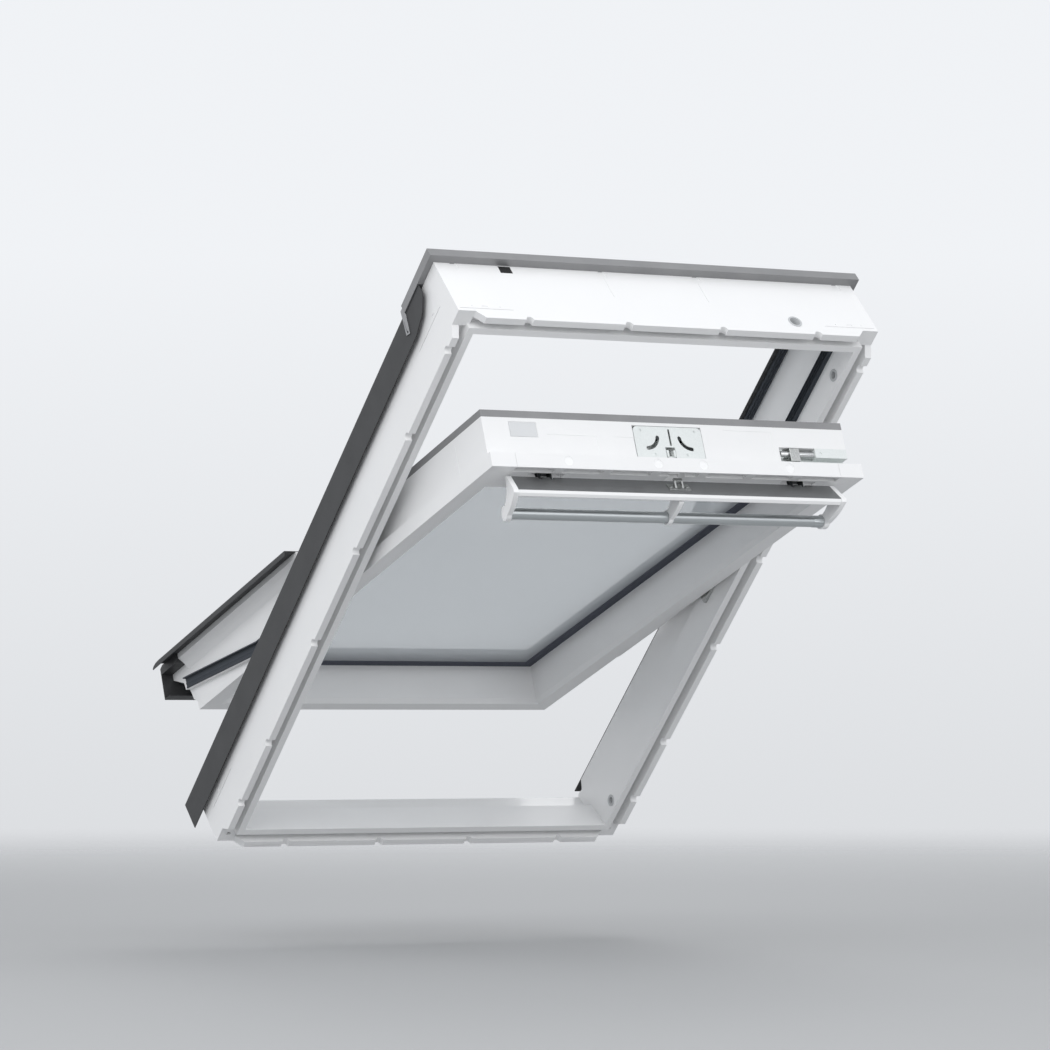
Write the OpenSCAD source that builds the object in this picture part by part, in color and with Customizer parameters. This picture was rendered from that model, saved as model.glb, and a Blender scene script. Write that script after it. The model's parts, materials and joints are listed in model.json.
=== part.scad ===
// Centre-pivot roof window: a moulded frame, a sash that turns on two side
// pivots, and a control bar across the head of the sash.
//
// Window axes used inside the modules: X runs across, Y runs outwards through
// the roof and Z runs up the slope. Y = 0 is the room side of the frame's
// corner blocks and X = Z = 0 is the middle of the frame. The last step tilts
// the window to the roof's pitch.

/* [Frame] */
// Outside width of the frame
frame_width = 780; // [550:1:1340]
// Outside height of the frame, along the slope
frame_height = 1178; // [780:1:1600]
// Depth of the side and top rails
frame_depth = 114; // [108:1:124]
// Width of a side rail, outside to opening
side_rail = 36; // [32:1:44]
// Width of the top and bottom rails, outside to opening
end_rail = 37.5; // [34:0.5:46]
// Width of each lip and of the lining groove between them
lip_width = 12; // [10:0.5:13]

/* [Sash] */
// Gap between the sash lip and the side rail
side_gap = 9.7; // [8:0.1:14]
// Lip of the sash, top to bottom, less than the opening by this much
sash_shorter = 18.2; // [14:0.1:30]
// Width of a sash stile at the glass, from the lip's edge
stile_width = 34.3; // [30:0.1:50]
// Width of the top rail of the sash, from the lip's edge
head_rail = 84.4; // [78:0.1:120]
// Depth of the sash's moulded casing
sash_depth = 92.5; // [88:0.5:100]
// Thickness of the lip
lip_thickness = 24; // [20:0.5:28]

/* [Glass] */
// Thickness of the inner pane
inner_glass = 6; // [4:0.5:8]
// Thickness of the outer pane
outer_glass = 4; // [4:0.5:8]
// Gap between the panes
glass_gap = 10; // [6:0.5:10]

/* [Pose] */
// Pitch of the roof that holds the window
roof_pitch = 45; // [15:1:90]
// Opening of the sash from closed
sash_open = 25; // [0:1:160]

/* [Fittings] */
// Radius of the two pivot pins
pin_radius = 5; // [4:0.5:7]
// Radius of the barrel bolt
bolt_radius = 5.5; // [4:0.5:6]
// Radius of the control bar's grip tube
grip_radius = 9.5; // [7:0.5:10]
// Length of the control bar
bar_length = 617.6; // [480:0.1:620]
// Thickness of the sheet covers
sheet = 1.5; // [1:0.1:2]

/* [Hidden] */
$fn = 64;

// Clearances
fit = 0.05;          // radial play of a pin or bolt in its bore
seat = 0.3;          // gap under a part that is seated but not pressed
running = 1.5;       // gap beside a part that swings past

// Frame, from its middle
half_w = frame_width / 2;
half_h = frame_height / 2;
open_x = half_w - side_rail;
open_z = half_h - end_rail;
inner_lip_h = 11;
outer_lip_h = 15;
lip_ramp = 14;
corner_block = 30;
groove_depth = 8;
bottom_depth = 88;             // the bottom rail is shallower than the sides
bottom_edge = half_h - 5.5;    // its thin outer edge
rebate = 8;                    // side rails step outwards by this
stop_y = 62;                   // room side of the head stop
stop_drop = 35.5;              // how far the head stop reaches down

// Pivot axis and closed sash
pivot_z = -10;
pivot_y = frame_depth + 14.5;
closed_z = -14;
closed_y = frame_depth - 82.9;
pivot_v = pivot_z - closed_z;
pivot_w = pivot_y - closed_y;

// Sash, from the middle of its lip
lip_x = open_x - side_gap;
lip_z = open_z - sash_shorter / 2;
body_x = lip_x - 8.5;
head_z = lip_z - 21.4;
wide_x = lip_x + 7.7;
glass_x = lip_x - stile_width;
glass_low = -lip_z + stile_width;
glass_top = lip_z - head_rail;
ledge = 14;                    // width of the ledge that carries the panes
ledge_w = sash_depth - 22.5;   // the panes keep their depth under the covers
wide_top = -70;                // the wide lower stiles start here
cover_w = sash_depth + 11.9;
overhang = 64;                 // bottom of the sash below the lip
bottom_w = sash_depth - 16;    // its room-side edge
brink_w = bottom_depth - closed_y + 1.2;

// Panes
pane_x = glass_x + ledge - 2;
pane_low = glass_low - ledge + 2;
pane_top = glass_top + ledge - 2;
gasket_t = 1;
inner_w = ledge_w + gasket_t;
spacer_w = inner_w + inner_glass;
outer_w = spacer_w + glass_gap;
outer_face_w = outer_w + outer_glass;
seal_t = 2.2;

// Vent slots in the front of the head
profile_x = lip_x - 44.3;
slots = 7;
slot_pitch = 88;
slot_length = 72;
slot_height = 15;

// Control bar: hinge axis and the curve of its end caps
hinge_v = lip_z - 35.4;
hinge_w = -8;
bar_x = bar_length / 2;
grip_v = lip_z - 65.2;
cap_lean = 10;                 // the caps come in by this much at the grip
grip_w = -51;
cap_t = 9;
bracket_x = bar_x - 75;
bracket_pin = 2.5;

// Lock case on the head of the sash
lock_x = 63;
lock_low = 33;
lock_high = 86;
lock_depth = 20;
jaw_x = 42;
jaw_w = 71;
jaw_reach = 22;
jaw_pin = 3;
jaw_rest = -12;                // direction of the jaw's peg at rest
jaw_turn = 72;                 // how far the peg travels

// Barrel bolt in the head of the sash
bolt_v = head_z - 7.5;
bolt_w = 49;
tray_w = 32.3;
bolt_start = body_x - 125.3;
bolt_radius_at = norm([bolt_v - pivot_v, bolt_w - pivot_w]);
bush_y = 6.5;
bush_reach = sqrt(pow(bolt_radius_at, 2) - pow(pivot_y - bush_y, 2));
bush_high = pivot_z + bush_reach;
bush_low = pivot_z - bush_reach;

// Places of the small bites in the outer lip, the outer ones from the corners
end_bites = [-half_w + 122, -88, 88, half_w - 122];
side_bites = [half_h - 69, half_h - 249, 94, -110, -half_h + 249, -half_h + 107];

white = "white";
light_alu = "darkgray";
dark_alu = "dimgray";
black_rubber = [0.13, 0.14, 0.16];
steel = "silver";

// ---- Placing helpers ----------------------------------------------------

// A box from its low and high sides along each window axis
module span(x, y, z) {
    translate([x[0], y[0], z[0]])
        cube([x[1] - x[0], y[1] - y[0], z[1] - z[0]]);
}

// Extrudes a Y-Z outline across the window
module across(from, to) {
    translate([from, 0, 0]) rotate([90, 0, 90]) linear_extrude(to - from) children();
}

// Extrudes an X-Y outline up the slope
module upward(from, to) {
    translate([0, 0, from]) linear_extrude(to - from) children();
}

// Extrudes an X-Z outline outwards
module outward(from, to) {
    translate([0, to, 0]) rotate([90, 0, 0]) linear_extrude(to - from) children();
}

// A round bar along X, Y or Z
module bar_x_axis(r, from, to, y, z) {
    translate([from, y, z]) rotate([0, 90, 0]) cylinder(r = r, h = to - from);
}
module bar_y_axis(r, from, to, x, z) {
    translate([x, from, z]) rotate([-90, 0, 0]) cylinder(r = r, h = to - from);
}
module bar_z_axis(r, from, to, x, y) {
    translate([x, y, from]) cylinder(r = r, h = to - from);
}

// Both sides of the window
module both_sides() {
    children();
    mirror([1, 0, 0]) children();
}

// Left side from a part finished on the right, tilted window and all
module on_left() {
    mirror([1, 0, 0]) children();
}

module in_frame() {
    rotate([90 - roof_pitch, 0, 0]) children();
}

module in_sash() {
    in_frame()
        translate([0, pivot_y, pivot_z])
            rotate([sash_open, 0, 0])
                translate([0, -pivot_w, -pivot_v]) children();
}

// ---- Frame --------------------------------------------------------------

// Room-side lips: the inner one round the opening, the outer one in four
// bars that stop at the corner blocks with a slope
module frame_lips() {
    side_end = half_h - corner_block;
    top_end = half_w - corner_block;
    span([-open_x - lip_width, open_x + lip_width], [-inner_lip_h, 1],
         [-open_z - lip_width, open_z + lip_width]);
    both_sides() across(half_w - lip_width, half_w)
        polygon([[1, -side_end], [0, -side_end], [-outer_lip_h, -side_end + lip_ramp],
                 [-outer_lip_h, side_end - lip_ramp], [0, side_end], [1, side_end]]);
    for (low = [-half_h, half_h - lip_width])
        upward(low, low + lip_width)
            polygon([[-top_end, 1], [-top_end, 0], [-top_end + lip_ramp, -outer_lip_h],
                     [top_end - lip_ramp, -outer_lip_h], [top_end, 0], [top_end, 1]]);
}

// The opening through the frame, with the head stop left in and the splayed
// face of the bottom rail
module frame_opening() {
    sill = -open_z;
    across(-open_x, open_x)
        polygon([[-20, open_z], [stop_y, open_z], [stop_y, open_z - stop_drop],
                 [frame_depth + 10, open_z - stop_drop], [frame_depth + 10, -bottom_edge],
                 [bottom_depth, -bottom_edge], [53, sill - 22], [46, sill - 8.5],
                 [-inner_lip_h, sill], [-20, sill]]);
    // the bottom rail's low outer edge, sloping up into the side rails
    across(-half_w - 1, half_w + 1)
        polygon([[bottom_depth, -half_h - 1], [bottom_depth, -bottom_edge],
                 [frame_depth + 1, -bottom_edge + 20], [frame_depth + 1, -half_h - 1]]);
}

// Rebates in the inner faces of the side rails below the pivot: the step
// turns towards the roof side half-way down
rebate_y = [48, 48, 85, 93];
rebate_z = [pivot_z - 60, pivot_z - 290, -half_h + 62, -bottom_edge];
module side_rebates() {
    both_sides() across(open_x - 1, open_x + rebate)
        polygon([[rebate_y[0], rebate_z[0]], [rebate_y[1], rebate_z[1]],
                 [rebate_y[2], rebate_z[2]], [rebate_y[3], rebate_z[3]],
                 [frame_depth + 10, -bottom_edge], [frame_depth + 10, pivot_z - 60]]);
}

// Lining groove between the lips, stopping at the corner blocks
module lining_grooves() {
    both_sides()
        span([open_x + lip_width, half_w - lip_width], [-20, groove_depth],
             [-half_h + corner_block, half_h - corner_block]);
    for (z = [-half_h + lip_width, open_z + lip_width])
        span([-half_w + corner_block, half_w - corner_block], [-20, groove_depth],
             [z, z + end_rail - 2 * lip_width]);
}

// Bites in the outer lip where fixing brackets clip on
module lip_bites() {
    for (x = end_bites) {
        bar_z_axis(7, half_h - lip_width - 1, half_h + 1, x, -outer_lip_h);
        upward(-half_h - 1, -half_h + lip_width + 1)
            polygon([[x - 8, -outer_lip_h - 1], [x - 3, -outer_lip_h + 6],
                     [x + 3, -outer_lip_h + 6], [x + 8, -outer_lip_h - 1]]);
    }
    both_sides() for (z = side_bites)
        bar_x_axis(7, half_w - lip_width - 1, half_w + 1, -outer_lip_h, z);
}

// Marks moulded in the outer faces: slits for the flashing, dots and
// shallow bowls under the covers
module casing_marks() {
    both_sides() {
        span([half_w - 100, half_w - 5], [6, 7], [half_h - 2, half_h + 1]);
        span([half_w - 56, half_w - 46], [10.5, 13.5], [half_h - 1, half_h + 1]);
        for (x = [half_w - 78, half_w - 28]) bar_z_axis(1.2, half_h - 1, half_h + 1, x, 12);
        for (x = [half_w - 33, 88]) bar_z_axis(9, half_h - 1.2, half_h + 1, x, 106);
        span([87.6, 88.4], [52, 100], [half_h - 0.6, half_h + 1]);
        for (z = [half_h - 128, -half_h + 31])
            span([half_w - 2, half_w + 1], [48.5, 49.5], [z, z + 93]);
        for (z = [half_h - 60, -half_h + 68]) {
            bar_x_axis(1.4, half_w - 1, half_w + 1, 56, z - 30);
            span([half_w - 1, half_w + 1], [54.5, 58], [z - 4, z + 4]);
        }
        bar_y_axis(4, -1, 5, half_w - 16, -half_h + 17);
    }
    for (x = end_bites)
        span([x - 4, x + 4], [-outer_lip_h + 7, -1.5], [-half_h - 1, -half_h + 0.8]);
}

grommet_x = half_w - 155;
grommet_y = 14;
grommet_r = 9;
grommet_rim = 12;
bush_r = 9;

module frame_casing() {
    color(white) in_frame() difference() {
        union() {
            span([-half_w, half_w], [0, frame_depth], [-half_h, half_h]);
            frame_lips();
            // upstands that carry the upper side covers
            both_sides() span([open_x, open_x + rebate + upstand_t],
                              [frame_depth - 1, side_cover_top - sheet],
                              [side_cover_start, side_cover_end]);
        }
        frame_opening();
        side_rebates();
        lining_grooves();
        lip_bites();
        casing_marks();
        span(pad_x, pad_y, [half_h - pad_t, half_h + 1]);
        bar_z_axis(grommet_r + 1.5, open_z - 1, half_h + 1, grommet_x, grommet_y);
        bar_z_axis(grommet_rim + 0.1, half_h - 2, half_h + 1, grommet_x, grommet_y);
        for (z = [bush_high, bush_low])
            bar_x_axis(bush_r, open_x - 1, open_x + 12, bush_y, z);
        // plain bore that takes the bolt of the closed sash
        bar_x_axis(bolt_radius + 0.6, open_x - 1, open_x + 12,
                   closed_y + bolt_w, closed_z + bolt_v);
    }
}

module cable_grommet() {
    color(light_alu) in_frame() difference() {
        union() {
            bar_z_axis(grommet_r + 1.5, open_z, half_h, grommet_x, grommet_y);
            bar_z_axis(grommet_rim, half_h - 2, half_h + 1, grommet_x, grommet_y);
        }
        bar_z_axis(grommet_r, open_z - 1, half_h + 2, grommet_x, grommet_y);
    }
}

// Foam strip under the hood, let into the head so that a bracket lies flat
pad_x = [-276, -254];
pad_y = [97, frame_depth - 1];
pad_t = 1.5;
module foam_pad() {
    color(black_rubber) in_frame() span(pad_x, pad_y, [half_h - pad_t, half_h]);
}

// Two plain bushes in the right side rail for the barrel bolt
module bolt_bushes() {
    color(white) in_frame() for (z = [bush_high, bush_low]) difference() {
        union() {
            bar_x_axis(bush_r, open_x, open_x + 12, bush_y, z);
            bar_x_axis(bush_r + 1.5, open_x - 0.8, open_x, bush_y, z);
        }
        bar_x_axis(bolt_radius + 0.6, open_x - 2, open_x + 13, bush_y, z);
    }
}

// Small countersunk screws in the lining groove, beside each bite
module frame_screws() {
    color(steel) in_frame() both_sides() {
        for (z = side_bites)
            bar_y_axis(2.6, groove_depth - 2, groove_depth, open_x + 1.5 * lip_width, z + 8);
        bar_y_axis(3.2, 3, 5, half_w - 16, -half_h + 17);
    }
}

// Head stop's seal, which the back of the sash lip meets
module frame_gasket_top() {
    color(black_rubber) in_frame()
        across(-open_x + 9, open_x - 9) {
            translate([stop_y - 2, open_z - stop_drop + 7]) circle(r = 1.9);
            translate([stop_y - 1.5, open_z - stop_drop + 3]) square([1.5, 14]);
        }
}

// Ribbed side seal of the upper half, on the rail's inner face
module frame_gasket_strip() {
    color(black_rubber) in_frame()
        upward(pivot_z + 60, open_z - stop_drop)
            union() {
                translate([open_x - 4.5, 35]) square([4.5, 21]);
                for (y = [38, 45.5, 53]) translate([open_x - 4.5, y]) circle(r = 2.6);
            }
}
module frame_gasket_right() {
    frame_gasket_strip();
}
module frame_gasket_left() {
    on_left() frame_gasket_strip();
}

// Ribbed seal under each upper side cover, over the edge of the closed sash
module outer_seal_strip() {
    top = side_cover_top - sheet;
    color(black_rubber) in_frame()
        upward(side_cover_start, side_cover_end)
            union() {
                translate([body_x + 2, top - 2]) square([open_x - body_x - 2, 2]);
                for (x = [body_x + 4, body_x + 9.5, body_x + 15])
                    translate([x, top - 2]) circle(r = 1.9);
            }
}
module outer_seal_right() {
    outer_seal_strip();
}
module outer_seal_left() {
    on_left() outer_seal_strip();
}

// Keeper on the head stop, facing the lock case
module striker_plate() {
    face = open_z - stop_drop;
    color(steel) in_frame() difference() {
        union() {
            span([-60, 60], [stop_y + 6, frame_depth - 4], [face - 2, face]);
            for (x = [-48, 41]) span([x, x + 7], [84, 98], [face - 4.5, face - 2]);
        }
        span([-12, 12], [76, 100], [face - 3, face + 1]);
    }
}

// ---- Pivots -------------------------------------------------------------

plate_x = open_x - 6;

module hinge_plate_part() {
    color(steel) in_frame() difference() {
        union() {
            span([plate_x, open_x], [24, frame_depth], [pivot_z - 34, pivot_z + 34]);
            span([plate_x, open_x], [frame_depth - 1, pivot_y], [pivot_z - 11, pivot_z + 11]);
            bar_x_axis(11, plate_x, open_x, pivot_y, pivot_z);
        }
        bar_x_axis(pin_radius, plate_x - 1, open_x + 1, pivot_y, pivot_z);
    }
}
module hinge_plate_right() {
    hinge_plate_part();
}
module hinge_plate_left() {
    on_left() hinge_plate_part();
}

module pivot_pins() {
    color(steel) in_frame() both_sides() {
        bar_x_axis(pin_radius, body_x + 0.5, open_x, pivot_y, pivot_z);
        bar_x_axis(pin_radius + 2.5, open_x, open_x + 2.5, pivot_y, pivot_z);
    }
}

module sash_plate_part() {
    color(steel) in_sash() difference() {
        union() {
            span([body_x, plate_x - running], [30, sash_depth], [pivot_v - 40, pivot_v + 40]);
            span([body_x, plate_x - running], [sash_depth - 1, pivot_w], [pivot_v - 10, pivot_v + 10]);
            bar_x_axis(10, body_x, plate_x - running, pivot_w, pivot_v);
        }
        bar_x_axis(pin_radius + fit, body_x - 1, plate_x, pivot_w, pivot_v);
        for (w = [44, 76]) for (v = [-28, 28])
            bar_x_axis(3.4, plate_x - running - 2, plate_x, w, pivot_v + v);
    }
}
module sash_plate_right() {
    sash_plate_part();
}
module sash_plate_left() {
    on_left() sash_plate_part();
}

module plate_screws() {
    color(light_alu) in_sash() both_sides()
        for (w = [44, 76]) for (v = [-28, 28])
            bar_x_axis(3.2, plate_x - running - 2, plate_x - running - 0.4, w, pivot_v + v);
}

// ---- Covers on the frame ------------------------------------------------

hood_rim_z = half_h + 14;
hood_x = half_w + 11;
hood_front = half_h - 104;
hood_rim = frame_depth + 16;
hood_top = frame_depth + 35;

// Outside of the hood, made smaller by inset all round
module hood_body(inset) {
    intersection() {
        across(-hood_x, hood_x)
            polygon([[frame_depth, hood_front], [hood_top - inset, hood_front],
                     [hood_top - inset, hood_rim_z - 38 - inset / 2],
                     [hood_rim - inset / 2, hood_rim_z - inset],
                     [frame_depth, hood_rim_z - inset]]);
        upward(hood_front, hood_rim_z)
            polygon([[-hood_x + inset, frame_depth], [hood_x - inset, frame_depth],
                     [hood_x - inset, hood_rim - inset / 2],
                     [hood_x - 24 - inset / 2, hood_top - inset],
                     [-hood_x + 24 + inset / 2, hood_top - inset],
                     [-hood_x + inset, hood_rim - inset / 2]]);
    }
}

module top_hood() {
    color(light_alu) in_frame() difference() {
        hood_body(0);
        difference() {
            translate([0, 0, -1]) hood_body(sheet);
            // flange along the head and the sides, resting on the frame
            difference() {
                span([-hood_x, hood_x], [frame_depth - 1, frame_depth + sheet],
                     [hood_front - 2, hood_rim_z]);
                span([-open_x - 10, open_x + 10], [frame_depth - 2, frame_depth + 5],
                     [hood_front - 3, open_z - 8]);
            }
        }
        // the cladding and the side covers run in under the hood
        both_sides() span([open_x + rebate - 1, cladding_x + 0.3], [frame_depth - 2, frame_depth + 2.3],
                          [hood_front - 2, cladding_top + 0.5]);
        both_sides() span([open_x - 30, cladding_x + 0.3], [frame_depth - 2, side_cover_top + 0.5],
                          [hood_front - 2, side_cover_end + 1]);
    }
}

// Strap clips that hold the hood's ends to the side cladding
module hood_clips() {
    color(light_alu) in_frame() both_sides() difference() {
        union() {
            across(cladding_x, cladding_x + sheet)
                polygon([[frame_depth - 36, hood_front - 12], [frame_depth - 30, hood_front - 22],
                         [frame_depth + 12, hood_front - 8], [frame_depth + 12, hood_front],
                         [frame_depth - 4, hood_front]]);
        }
        bar_x_axis(2, cladding_x - 1, cladding_x + 3, frame_depth - 29, hood_front - 15);
    }
}

cladding_x = half_w + 9;
cladding_low = 62;
cladding_end = -half_h - 33;
cladding_top = half_h - 46;

// Folded side cladding: a flange on the rail and a skirt beside it
module side_cladding_part() {
    color(dark_alu) in_frame() {
        difference() {
            across(open_x + rebate, cladding_x)
                polygon([[cladding_low, cladding_end], [cladding_low, cladding_top - 60],
                         [cladding_low + 10, cladding_top - 25], [cladding_low + 32, cladding_top],
                         [frame_depth + 2, cladding_top], [frame_depth + 2, cladding_end]]);
            span([open_x, cladding_x - sheet], [cladding_low - 1, frame_depth],
                 [cladding_end - 1, cladding_top + 1]);
            // the flange ends with the frame, and stops at the upstand
            span([open_x, cladding_x - sheet], [frame_depth - 1, frame_depth + 3],
                 [cladding_end - 1, -half_h - 6]);
            span([open_x, open_x + rebate + upstand_t + seat], [frame_depth - 1, frame_depth + 3],
                 [side_cover_start - seat, side_cover_end + seat]);
        }
    }
}
module side_cladding_right() {
    side_cladding_part();
}
module side_cladding_left() {
    on_left() side_cladding_part();
}

side_cover_start = pivot_z + 65;
side_cover_end = half_h - 84;
side_cover_top = frame_depth + 27;
upstand_t = 8;

// Cover over the upper side rail and the edge of the closed sash
module side_cover_part() {
    low = frame_depth + 2;
    inner = body_x - 6;
    foot = open_x + rebate + upstand_t + seat;
    color(dark_alu) in_frame() upward(side_cover_start, side_cover_end)
        polygon([[open_x + 26, low], [open_x + 26, side_cover_top - 12],
                 [open_x + 18, side_cover_top], [inner, side_cover_top],
                 [inner, side_cover_top - sheet], [open_x + 17, side_cover_top - sheet],
                 [open_x + 26 - sheet, side_cover_top - 12.6], [open_x + 26 - sheet, low + sheet],
                 [foot, low + sheet], [foot, low]]);
}
module side_cover_right() {
    side_cover_part();
}
module side_cover_left() {
    on_left() side_cover_part();
}

// ---- Sash ---------------------------------------------------------------

// The step between the narrow and the wide part of a lower stile, and the
// flare of the wide part over the frame's cladding
step_w = [3, 3, 44.5];
step_v = [wide_top, wide_top - 206, -lip_z - 23];
flare_x = open_x + 15;
flare_w = [sash_depth - 9, sash_depth - 5.5, sash_depth + 1.5];
bottom_v = -lip_z - overhang;
brink = [brink_w, -lip_z - 27];   // passes over the frame's bottom rail

// The rail and stile blocks before the glass opening is cut
module sash_blocks() {
    low = -lip_z;
    // stiles and head
    span([-body_x, body_x], [0, sash_depth], [low, head_z]);
    span([-lip_x, lip_x], [0, lip_thickness], [low, lip_z]);
    // narrow lower stiles and the splayed underside
    across(-lip_x, lip_x)
        polygon([[0, wide_top], [0, low], [16, low - 2], [24, low - 14],
                 [step_w[2], step_v[2]], [step_w[1], step_v[1]], [step_w[0], step_v[0]]]);
    // wide lower stiles and the bottom overhang
    across(-wide_x, wide_x)
        polygon([[step_w[0], step_v[0]], [step_w[1], step_v[1]], [step_w[2], step_v[2]], brink,
                 [bottom_w, bottom_v], [sash_depth, bottom_v], [sash_depth, step_v[0]]]);
    both_sides() upward(bottom_v + block_length + seat, wide_top)
        polygon([[wide_x - 1, sash_depth], [wide_x - 1, flare_w[0] - 9], [wide_x, flare_w[0] - 9],
                 [open_x + 4, flare_w[0]], [open_x + 7, flare_w[1]], [flare_x, flare_w[2]],
                 [flare_x, cover_w - sheet], [wide_x, cover_w - sheet], [wide_x, sash_depth]]);
}

// Glass opening with a bevelled room-side edge, and the ledge for the panes
module glass_opening() {
    bevel = 4;
    bevel_w = 9;
    span([-glass_x, glass_x], [-1, sash_depth + 1], [glass_low, glass_top]);
    span([-glass_x - ledge, glass_x + ledge], [ledge_w, sash_depth + 1],
         [glass_low - ledge, glass_top + ledge]);
    intersection() {
        upward(-half_h, half_h)
            polygon([[-glass_x - bevel, -0.01], [glass_x + bevel, -0.01],
                     [glass_x, bevel_w], [-glass_x, bevel_w]]);
        across(-half_w, half_w)
            polygon([[-0.01, glass_low - bevel], [-0.01, glass_top + bevel],
                     [bevel_w, glass_top], [bevel_w, glass_low]]);
    }
}

module sash_casing() {
    color(white) in_sash() difference() {
        sash_blocks();
        glass_opening();
        // the vent profile replaces the middle of the head's lip
        span([-profile_x, profile_x], [-1, 32], [lip_z - 38, lip_z + 1]);
        // filter chamber behind the vent slots
        span([-profile_x + 10, profile_x - 10], [31, 62], [lip_z - 62, lip_z - 38]);
        span([-profile_x + 10, profile_x - 10], [31, 40], [lip_z - 40, lip_z - 36]);
        // pockets for the control bar's brackets
        for (x = [-bracket_x, bracket_x])
            span([x - 14, x + 14], [-1, 7], [hinge_v - 9, lip_z - 37]);
        // lock case pocket
        span([-lock_x - 1, lock_x + 1], [lock_low - 2, lock_high + 1],
             [head_z - lock_depth, head_z + 1]);
        // barrel bolt pocket, open at the right side
        span([bolt_start - 4, body_x + 1], [tray_w, bolt_w + 9], [bolt_v - 9, head_z + 1]);
        // shallow panels in the head's outer face
        for (x = [-222, -100]) span([x, x + 90], [36, 66], [head_z - 0.4, head_z + 1]);
        span([-289, -239], [60, 86], [head_z - 0.8, head_z + 1]);
        span([106, 196], [37, 84], [head_z - 0.4, head_z + 1]);
        // joint line on the stiles' sides
        both_sides() span([body_x - 0.6, body_x + 1], [30, 80], [head_z - 92, head_z - 91]);
        // grooves that hold the inclined side seals
        both_sides() across(wide_x - 3, wide_x + 1) side_groove();
    }
}

// Run of the inclined seal: it follows the room-side edge of the wide part
seal_v = [wide_top - 150, step_v[1], step_v[2] + 6];
seal_slope = (step_w[2] - step_w[1]) / (step_v[1] - step_v[2]);
seal_w = [step_w[0] + 1, step_w[1] + 1, step_w[1] + 1 + seal_slope * (step_v[1] - seal_v[2])];

// A strip along that run, between two distances from its edge
module seal_strip(from, to) {
    polygon([[seal_w[0] + from, seal_v[0]], [seal_w[1] + from, seal_v[1]],
             [seal_w[2] + from, seal_v[2]], [seal_w[2] + to, seal_v[2]],
             [seal_w[1] + to, seal_v[1]], [seal_w[0] + to, seal_v[0]]]);
}
module side_groove() {
    seal_strip(10, 14);
}

// Inclined side seal: a root in the groove, a flat base, two low ribs and
// an outer lip that comes down over the frame's step
module sash_gasket_part() {
    color(black_rubber) in_sash() {
        across(wide_x - 3, wide_x) side_groove();
        across(wide_x, wide_x + 1) seal_strip(0, 22);
        across(wide_x + 1, wide_x + 1.6) {
            seal_strip(0, 3);
            seal_strip(7, 10);
        }
        across(wide_x + 1, wide_x + 6.5) seal_strip(17.5, 20);
    }
}
module sash_gasket_right() {
    sash_gasket_part();
}
module sash_gasket_left() {
    on_left() sash_gasket_part();
}

// Seal along the bottom rail, on the splayed underside
module sash_gasket_bottom() {
    from = brink;
    run = [bottom_w, bottom_v] - from;
    along = run / norm(run);
    out = [along[1], -along[0]];
    color(black_rubber) in_sash() across(-wide_x, wide_x)
        polygon([from + along, from + 2 * along + 1.4 * out, from + 4 * along + 1.8 * out,
                 from + 9 * along + 1.8 * out, from + 14 * along + out, from + 15 * along]);
}

// Middle of the head's lip: a moulding with the vent slots
module vent_profile() {
    low = lip_z - 38;
    color(white) in_sash() difference() {
        union() {
            span([-profile_x + 0.4, profile_x - 0.4], [0, lip_thickness], [low, lip_z]);
            span([-profile_x + 0.4, profile_x - 0.4], [0, 32], [low, head_z]);
        }
        // slots in the front, opening backwards to the filter
        for (i = [0 : slots - 1]) {
            x = (i - (slots - 1) / 2) * slot_pitch;
            span([x - slot_length / 2, x + slot_length / 2], [-1, 20],
                 [lip_z - 4 - slot_height, lip_z - 4]);
            span([x - slot_length / 2 + 4, x + slot_length / 2 - 4], [19, 33],
                 [lip_z - 4 - slot_height, head_z + 1]);
            span([x - slot_length / 2 + 4, x + slot_length / 2 - 4], [12, 33],
                 [low + 2, lip_z - 18]);
        }
        // step in the front face, and room for the bar's brackets and link
        span([-profile_x, profile_x], [-1, 2], [low - 1, hinge_v - 6]);
        for (x = [-bracket_x, bracket_x]) span([x - 32, x + 32], [-1, 7], [low - 1, lip_z - 22]);
        span([-15, 15], [-1, 12], [low - 1, lip_z - 3]);
        // plug seats
        for (x = [-205, -42, 42, 205]) bar_z_axis(8.1, lip_z - 1, lip_z + 1, x, 12.5);
    }
}

module lip_plugs() {
    color(white) in_sash() for (x = [-205, -42, 42, 205])
        bar_z_axis(8, lip_z - 1, lip_z - 0.2, x, 12.5);
}

module vent_filter() {
    color("lightgray") in_sash()
        span([-profile_x + 12, profile_x - 12], [33, 60], [lip_z - 62, lip_z - 43.4]);
}

// ---- Glass --------------------------------------------------------------

module pane(from, thickness) {
    span([-pane_x, pane_x], [from, from + thickness], [pane_low, pane_top]);
}

// A rectangular ring along the edge of the panes
module pane_ring(w, outer, inner) {
    difference() {
        span([-pane_x + outer, pane_x - outer], w, [pane_low + outer, pane_top - outer]);
        span([-pane_x + inner, pane_x - inner], [w[0] - 1, w[1] + 1],
             [pane_low + inner, pane_top - inner]);
    }
}

module inner_pane() {
    color([0.86, 0.89, 0.91, 0.5]) in_sash() pane(inner_w, inner_glass);
}
module outer_pane() {
    color([0.82, 0.86, 0.89, 0.5]) in_sash() pane(outer_w, outer_glass);
}
module glass_spacer() {
    color(black_rubber) in_sash() pane_ring([spacer_w, outer_w], 3, 17);
}
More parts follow.
